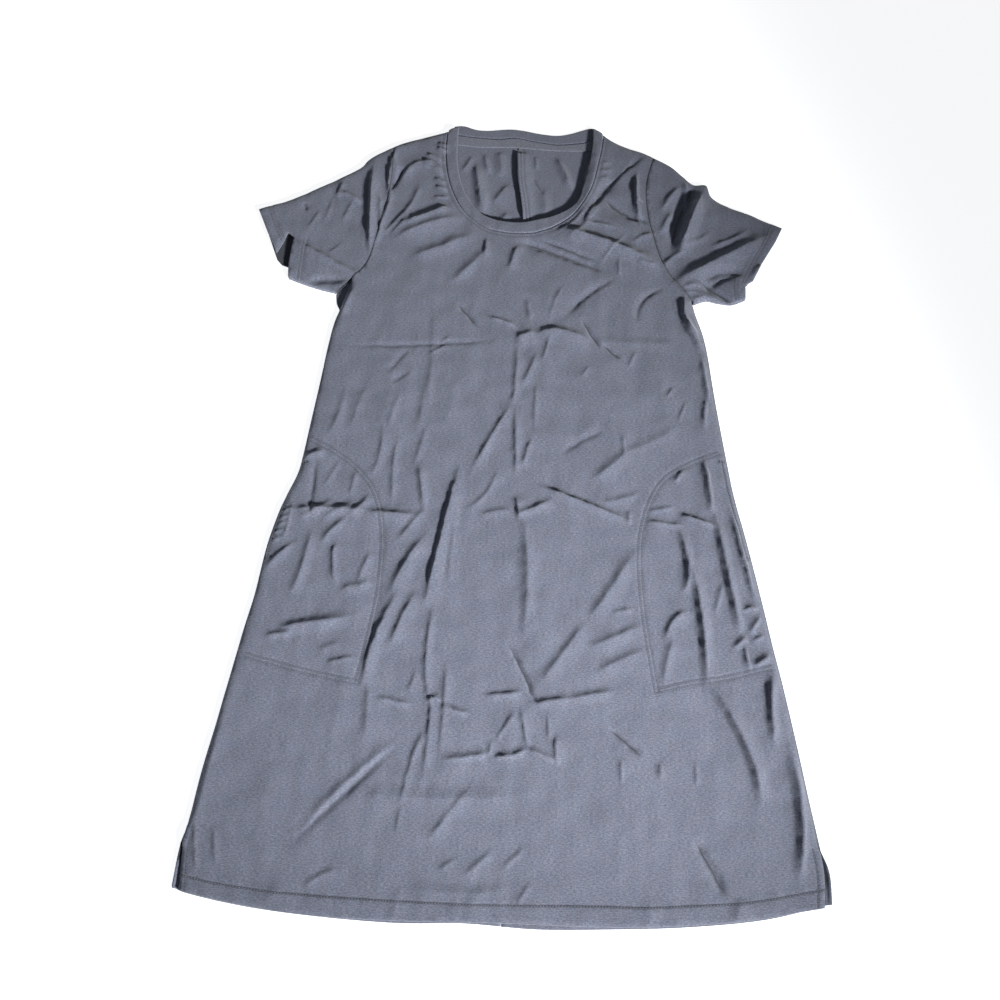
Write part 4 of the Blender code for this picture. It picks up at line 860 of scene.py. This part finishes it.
def folded_edges(row, armhole, cuff):
    """The sleeve's two folded edges, and the same two moved inwards, where the walls begin."""
    middle = (armhole[len(armhole) // 2] + cuff[len(cuff) // 2]) / 2
    edges, insets = [], []
    for marks, end, beside in ((row.top, 0, 1), (row.under, -1, -2)):
        edge = curve(marks)
        edge[0], edge[-1] = armhole[end], cuff[end]
        normal = side_of(edge)
        if ((middle - edge[len(edge) // 2]) * normal[len(edge) // 2]).sum() < 0:
            normal = -normal
        inner = edge + SLEEVE_INSET * normal
        inner[0] = toward(edge[0], armhole[beside], SLEEVE_INSET)
        inner[-1] = toward(edge[-1], cuff[beside], SLEEVE_INSET)
        edges.append(edge)
        insets.append(inner)
    return edges, insets


def build_sleeve(row, material):
    """A tube pressed flat: an upper and a lower wall that share two folded edges, open at cuff and armhole."""
    armhole, cuff, low_cuff = curve(row.armhole), polygon(row.cuff_upper), polygon(row.cuff_lower)
    edges, insets = folded_edges(row, armhole, cuff)
    lines = [curve(marks) for marks in row.rows]
    rows = [line + shift * side_of(line) for line in lines for shift in (0, CUFF_TWIN)]

    def wall_net(cuff, step, rows, folds):
        """A wall's net, and where the points of each folded edge are in it."""
        hole, end = (
            [p for p, a, b in zip(line, *(distance(line, inner, 9) for inner in insets)) if min(a, b) > 1]
            for line in (armhole[1:-1], cuff[1:-1]))
        outline = np.vstack([insets[0], end, insets[1][::-1], hole[::-1]])
        cloth = net(outline, lambda p: rise(p, folds), step, rows, folds)
        first, last = len(insets[0]), len(insets[0]) + len(end) + len(insets[1])
        return cloth, [[cloth.placed[i] for i in range(first)],
                       [cloth.placed[last - 1 - i] for i in range(len(insets[1]))]]

    upper, upper_edges = wall_net(cuff, 4.4, rows, TOP_FOLDS)
    lower, lower_edges = wall_net(low_cuff, 12.0, (), ())
    vertices, faces, painted_shade = [], [], []

    # dark is the painted shade that each point gets.
    def add(points, heights, dark=0.0):
        first = len(vertices)
        vertices.extend((x, y, z) for (x, y), z in zip(points, np.broadcast_to(heights, len(points))))
        painted_shade.extend(np.broadcast_to(dark, len(points)))
        return first

    groove = grooves(upper.points, rows)
    high = top_under(upper.points, edges)
    relief = TURN_HEIGHT * turned(upper.points, cuff, CUFF_TURN) - GROOVE * groove
    on_fold = np.min([distance(upper.points, inner, 9) for inner in insets], axis=0) < 0.01
    share = np.where(upper.rim & ~on_fold, EDGE_HEIGHT, 1.0)
    # Painted shade on the upper wall: in hollows, along the cuff rows and along the armhole seam.
    dark = 0.6 * groove + 0.55 * hollows(upper.points, TOP_FOLDS)
    dark = np.maximum(dark, painted_seam_shade(upper.points, armhole))
    roof = add(upper.points, high + (WALL + relief) * share, dark)
    ceiling = add(upper.points, high)
    # The lower wall's inside is painted fully in shade, all but its cut edge; it shows through the cuff's notch.
    floor = add(lower.points, WALL, ~lower.rim)
    base = add(lower.points, 0.0)
    for first, cloth in ((roof, upper), (ceiling, upper), (floor, lower), (base, lower)):
        faces += [tuple(first + i for i in t) for t in cloth.triangles]
    folded = {roof: set(), floor: set()}
    for edge, top, low in zip(edges, upper_edges, lower_edges):
        count = len(edge)
        rim_high = add(edge, BACK_TOP + WALL * 0.4)
        rim_low = add(edge, WALL * 0.3)
        rings = [(rim_low + i, rim_high + i, roof + top[i], ceiling + top[i], floor + low[i], base + low[i])
                 for i in range(count)]
        for a, b in zip(rings, rings[1:]):
            faces += [(a[i], b[i], b[j], a[j]) for i, j in ((1, 2), (0, 5), (1, 0), (3, 4))]
        for i in range(count - 1):
            folded[roof].add(frozenset(top[i:i + 2]))
            folded[floor].add(frozenset(low[i:i + 2]))
        faces += [(ring[0], ring[k], ring[k + 1]) for ring in (rings[0], rings[-1]) for k in range(1, 5)]
    for above, below, cloth in ((roof, ceiling, upper), (floor, base, lower)):
        faces += [(above + a, above + b, below + b, below + a) for a, b in border(cloth.triangles)
                  if frozenset((a, b)) not in folded[above]]
    return make_piece(row.node + "_cloth", vertices, faces, material, row.node, painted_shade), rows


def stitches(name, rows, cloth, material):
    """Short raised threads along the rows, each sunk a little into the cloth at its ends."""
    mesh = cloth.data
    tree = BVHTree.FromPolygons([v.co / MM for v in mesh.vertices], [p.vertices for p in mesh.polygons])
    vertices, faces = [], []
    for row in rows:
        line = even(row, THREAD_STEP)
        for k in range(int(len(line) * THREAD_STEP / STITCH_PITCH)):
            first = int(k * STITCH_PITCH / THREAD_STEP)
            a, b = line[first], line[min(first + int(STITCH / THREAD_STEP), len(line) - 1)]
            length = np.linalg.norm(b - a)
            if length < STITCH * 0.6:
                continue
            along = (b - a) / length
            across = np.array([-along[1], along[0]])
            places = [a + (b - a) * t for t, _, _ in THREAD_FORM]
            tops = [tree.ray_cast((*place, 60.0), (0, 0, -1))[0] for place in places]
            if None in tops:
                continue
            ring = []
            for place, top, (_, wide, up) in zip(places, tops, THREAD_FORM):
                for s, lift in ((-1, -0.6), (-0.55, 0.75), (0.55, 0.75), (1, -0.6)):
                    side = place + across * s * STITCH_WIDTH * wide
                    ring.append((side[0], side[1], top.z + STITCH_RISE * (up + 0.35 * lift)))
            start = len(vertices)
            vertices += ring
            loops = [(4 * i + j, 4 * i + (j + 1) % 4, 4 * i + 4 + (j + 1) % 4, 4 * i + 4 + j)
                     for i in range(3) for j in range(4)]
            faces += [tuple(start + v for v in loop) for loop in loops + [(0, 1, 2, 3), (15, 14, 13, 12)]]
    return make_piece(name, vertices, faces, material)


def fill(node, values):
    """Set a node's inputs, or link them where the value is another node's output."""
    for key, value in values.items():
        if isinstance(value, bpy.types.NodeSocket):
            node.id_data.links.new(value, node.inputs[key])
        else:
            node.inputs[key].default_value = value


def jersey(name, light, dark, rough=0.9, streak=(300, 900)):
    """Heather jersey: streaks of mixed yarn along the courses, fine ribs of stitches, and painted shade that
    darkens it in hollows.
    """
    material = bpy.data.materials.new(name)
    material.use_nodes = True
    nodes = material.node_tree.nodes

    def add(kind, output, values, **settings):
        node = nodes.new("ShaderNode" + kind)
        for key, value in settings.items():
            setattr(node, key, value)
        fill(node, values)
        return node.outputs[output]

    where = add("TexCoord", "Object", {})

    def speckle(scale, detail):
        placed = add("Mapping", "Vector", {"Scale": scale, "Vector": where})
        return add("TexNoise", "Fac", {"Scale": 1.0, "Detail": detail, "Vector": placed})

    def mix(kind, factor, first, second):
        return add("Mix", 2, {0: factor, 6: first, 7: second}, data_type="RGBA", blend_type=kind)

    def between(fac, low, high, first, second):
        share = add("MapRange", "Result", {"From Min": low, "From Max": high, "Value": fac})
        return mix("MIX", share, first, second)

    def wave(direction, scale):
        return add("TexWave", "Fac", {"Scale": scale, "Distortion": 1.2, "Detail": 1.0, "Vector": where},
                   bands_direction=direction)

    yarn = speckle((*streak, 1.0), 2.0)
    grain = speckle((620, 760, 1.0), 2.0)
    patch = speckle((34, 26, 1.0), 3.0)
    tint = speckle((90, 70, 2.0), 2.0)
    colour = between(yarn, 0.35, 0.68, (*dark, 1), (*light, 1))
    for kind, factor, *place in (
        ("OVERLAY", 0.65, grain, 0.3, 0.7, (0.32, 0.32, 0.33, 1), (0.68, 0.68, 0.67, 1)),
        ("MULTIPLY", 0.6, patch, 0.3, 0.7, (0.84, 0.84, 0.86, 1), (1, 1, 1, 1)),
        ("MULTIPLY", 0.6, tint, 0.35, 0.65, (0.92, 0.97, 1, 1), (1, 0.97, 0.95, 1)),
    ):
        colour = mix(kind, factor, colour, between(*place))
    # Painted shade: the painted_shade attribute mixes the colour towards a near-black blue in hollows, along
    # stitched rows and seams, and in gaps.
    painted_shade_mask = add("Attribute", "Fac", {}, attribute_name="painted_shade")
    colour = mix("MIX", painted_shade_mask, colour, (0.030, 0.032, 0.044, 1))
    fill(nodes["Principled BSDF"], {
        "Base Color": colour, "Roughness": rough, "Sheen Weight": 0.25, "Sheen Roughness": 0.6,
        "Specular IOR Level": 0.25,
    })
    below = {}
    for fac, depth in ((wave("X", 330), 0.00010), (wave("Y", 450), 0.00006), (yarn, 0.00015)):
        values = {"Strength": 0.5, "Distance": depth, "Height": fac, **below}
        below = {"Normal": add("Bump", "Normal", values)}
    fill(nodes["Principled BSDF"], below)
    return material


def build_floor():
    bpy.ops.mesh.primitive_plane_add(size=8, location=(0, 0, -0.0004))
    floor = bpy.context.object
    floor.name = "floor"
    material = bpy.data.materials.new("pale_floor")
    material.use_nodes = True
    nodes = material.node_tree.nodes
    texture = nodes.new("ShaderNodeTexNoise")
    fill(texture, {"Scale": 3.0})
    ramp = nodes.new("ShaderNodeValToRGB")
    fill(ramp, {"Fac": texture.outputs["Fac"]})
    for element, grey in zip(ramp.color_ramp.elements, (0.84, 0.88)):
        element.color = (grey, grey, grey, 1)
    pale = ramp.outputs["Color"]
    fill(nodes["Principled BSDF"], {
        "Base Color": pale, "Emission Color": pale, "Emission Strength": 0.98, "Roughness": 0.8,
    })
    floor.data.materials.append(material)


def add_lamp(name, kind, place, aim, radius, power, colour):
    light = bpy.data.lights.new(name, kind)
    light.shadow_soft_size = radius
    light.energy = power
    light.color = colour
    lamp = bpy.data.objects.new(name, light)
    lamp.location = place
    lamp.rotation_euler = (Vector(place) - Vector(aim)).to_track_quat("Z", "Y").to_euler()
    bpy.context.scene.collection.objects.link(lamp)
    return light


def build_studio():
    """A low key light from the lower right, a faint cool fill from the left and one from above."""
    key = add_lamp("key", "SPOT", MM * LAMP, (-0.81, 0.52, 0), 0.1, 337, (0.965, 0.985, 1.0))
    key.spot_size = math.radians(56)
    key.spot_blend = 1.0
    add_lamp("left_fill", "POINT", (-1.7, -0.9, 0.9), (0, 0, 0), 0.5, 10, (0.4, 0.62, 1.0))
    add_lamp("top_fill", "POINT", (0.1, -0.1, 1.3), (0, 0, 0), 0.3, 4, (0.9, 0.95, 1.0))
    world = bpy.data.worlds.new("studio")
    bpy.context.scene.world = world
    world.use_nodes = True
    world.node_tree.nodes["Background"].inputs["Color"].default_value = (0.9, 0.95, 1.0, 1)
    world.node_tree.nodes["Background"].inputs["Strength"].default_value = 0.07
    bpy.context.scene.view_settings.view_transform = "Standard"


def build_camera():
    """The eye stands over the hem and looks down on the dress, tilted a little towards the neck."""
    data = bpy.data.cameras.new("eye")
    data.sensor_width = 36
    data.lens = 27
    camera = bpy.data.objects.new("eye", data)
    camera.location = MM * EYE
    camera.rotation_euler = (math.radians(16), 0, math.radians(2.1))
    bpy.context.scene.collection.objects.link(camera)
    bpy.context.scene.camera = camera


def main():
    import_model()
    light, dark = (0.182, 0.192, 0.246), (0.108, 0.114, 0.151)
    body = jersey("heather_jersey", light, dark)
    rib = jersey("heather_band", (0.170, 0.178, 0.228), (0.108, 0.114, 0.150), 0.88, (330, 700))
    woven = jersey("tape_weave", (0.200, 0.206, 0.252), (0.135, 0.139, 0.174), 0.85, (420, 420))
    thread = jersey("thread", (0.15, 0.154, 0.19), (0.11, 0.113, 0.14), 0.7, (900, 900))
    front, rows = build_front(body)
    build_bags(body)
    band_front, band_back, tape = build_neck(rib, woven)
    backs, back_rows = build_backs(body)
    sleeves = [build_sleeve(row, body) for row in SLEEVES]
    for kind, lines in rows.items():
        stitches(f"{kind}_stitches", lines, front, thread)
    for name, lines in back_rows.items():
        stitches(f"{name}_stitches", lines, backs[name], thread)
    for row, (sleeve, lines) in zip(SLEEVES, sleeves):
        stitches(f"{row.node}_stitches", lines, sleeve, thread)
    build_floor()
    build_studio()
    build_camera()


main()
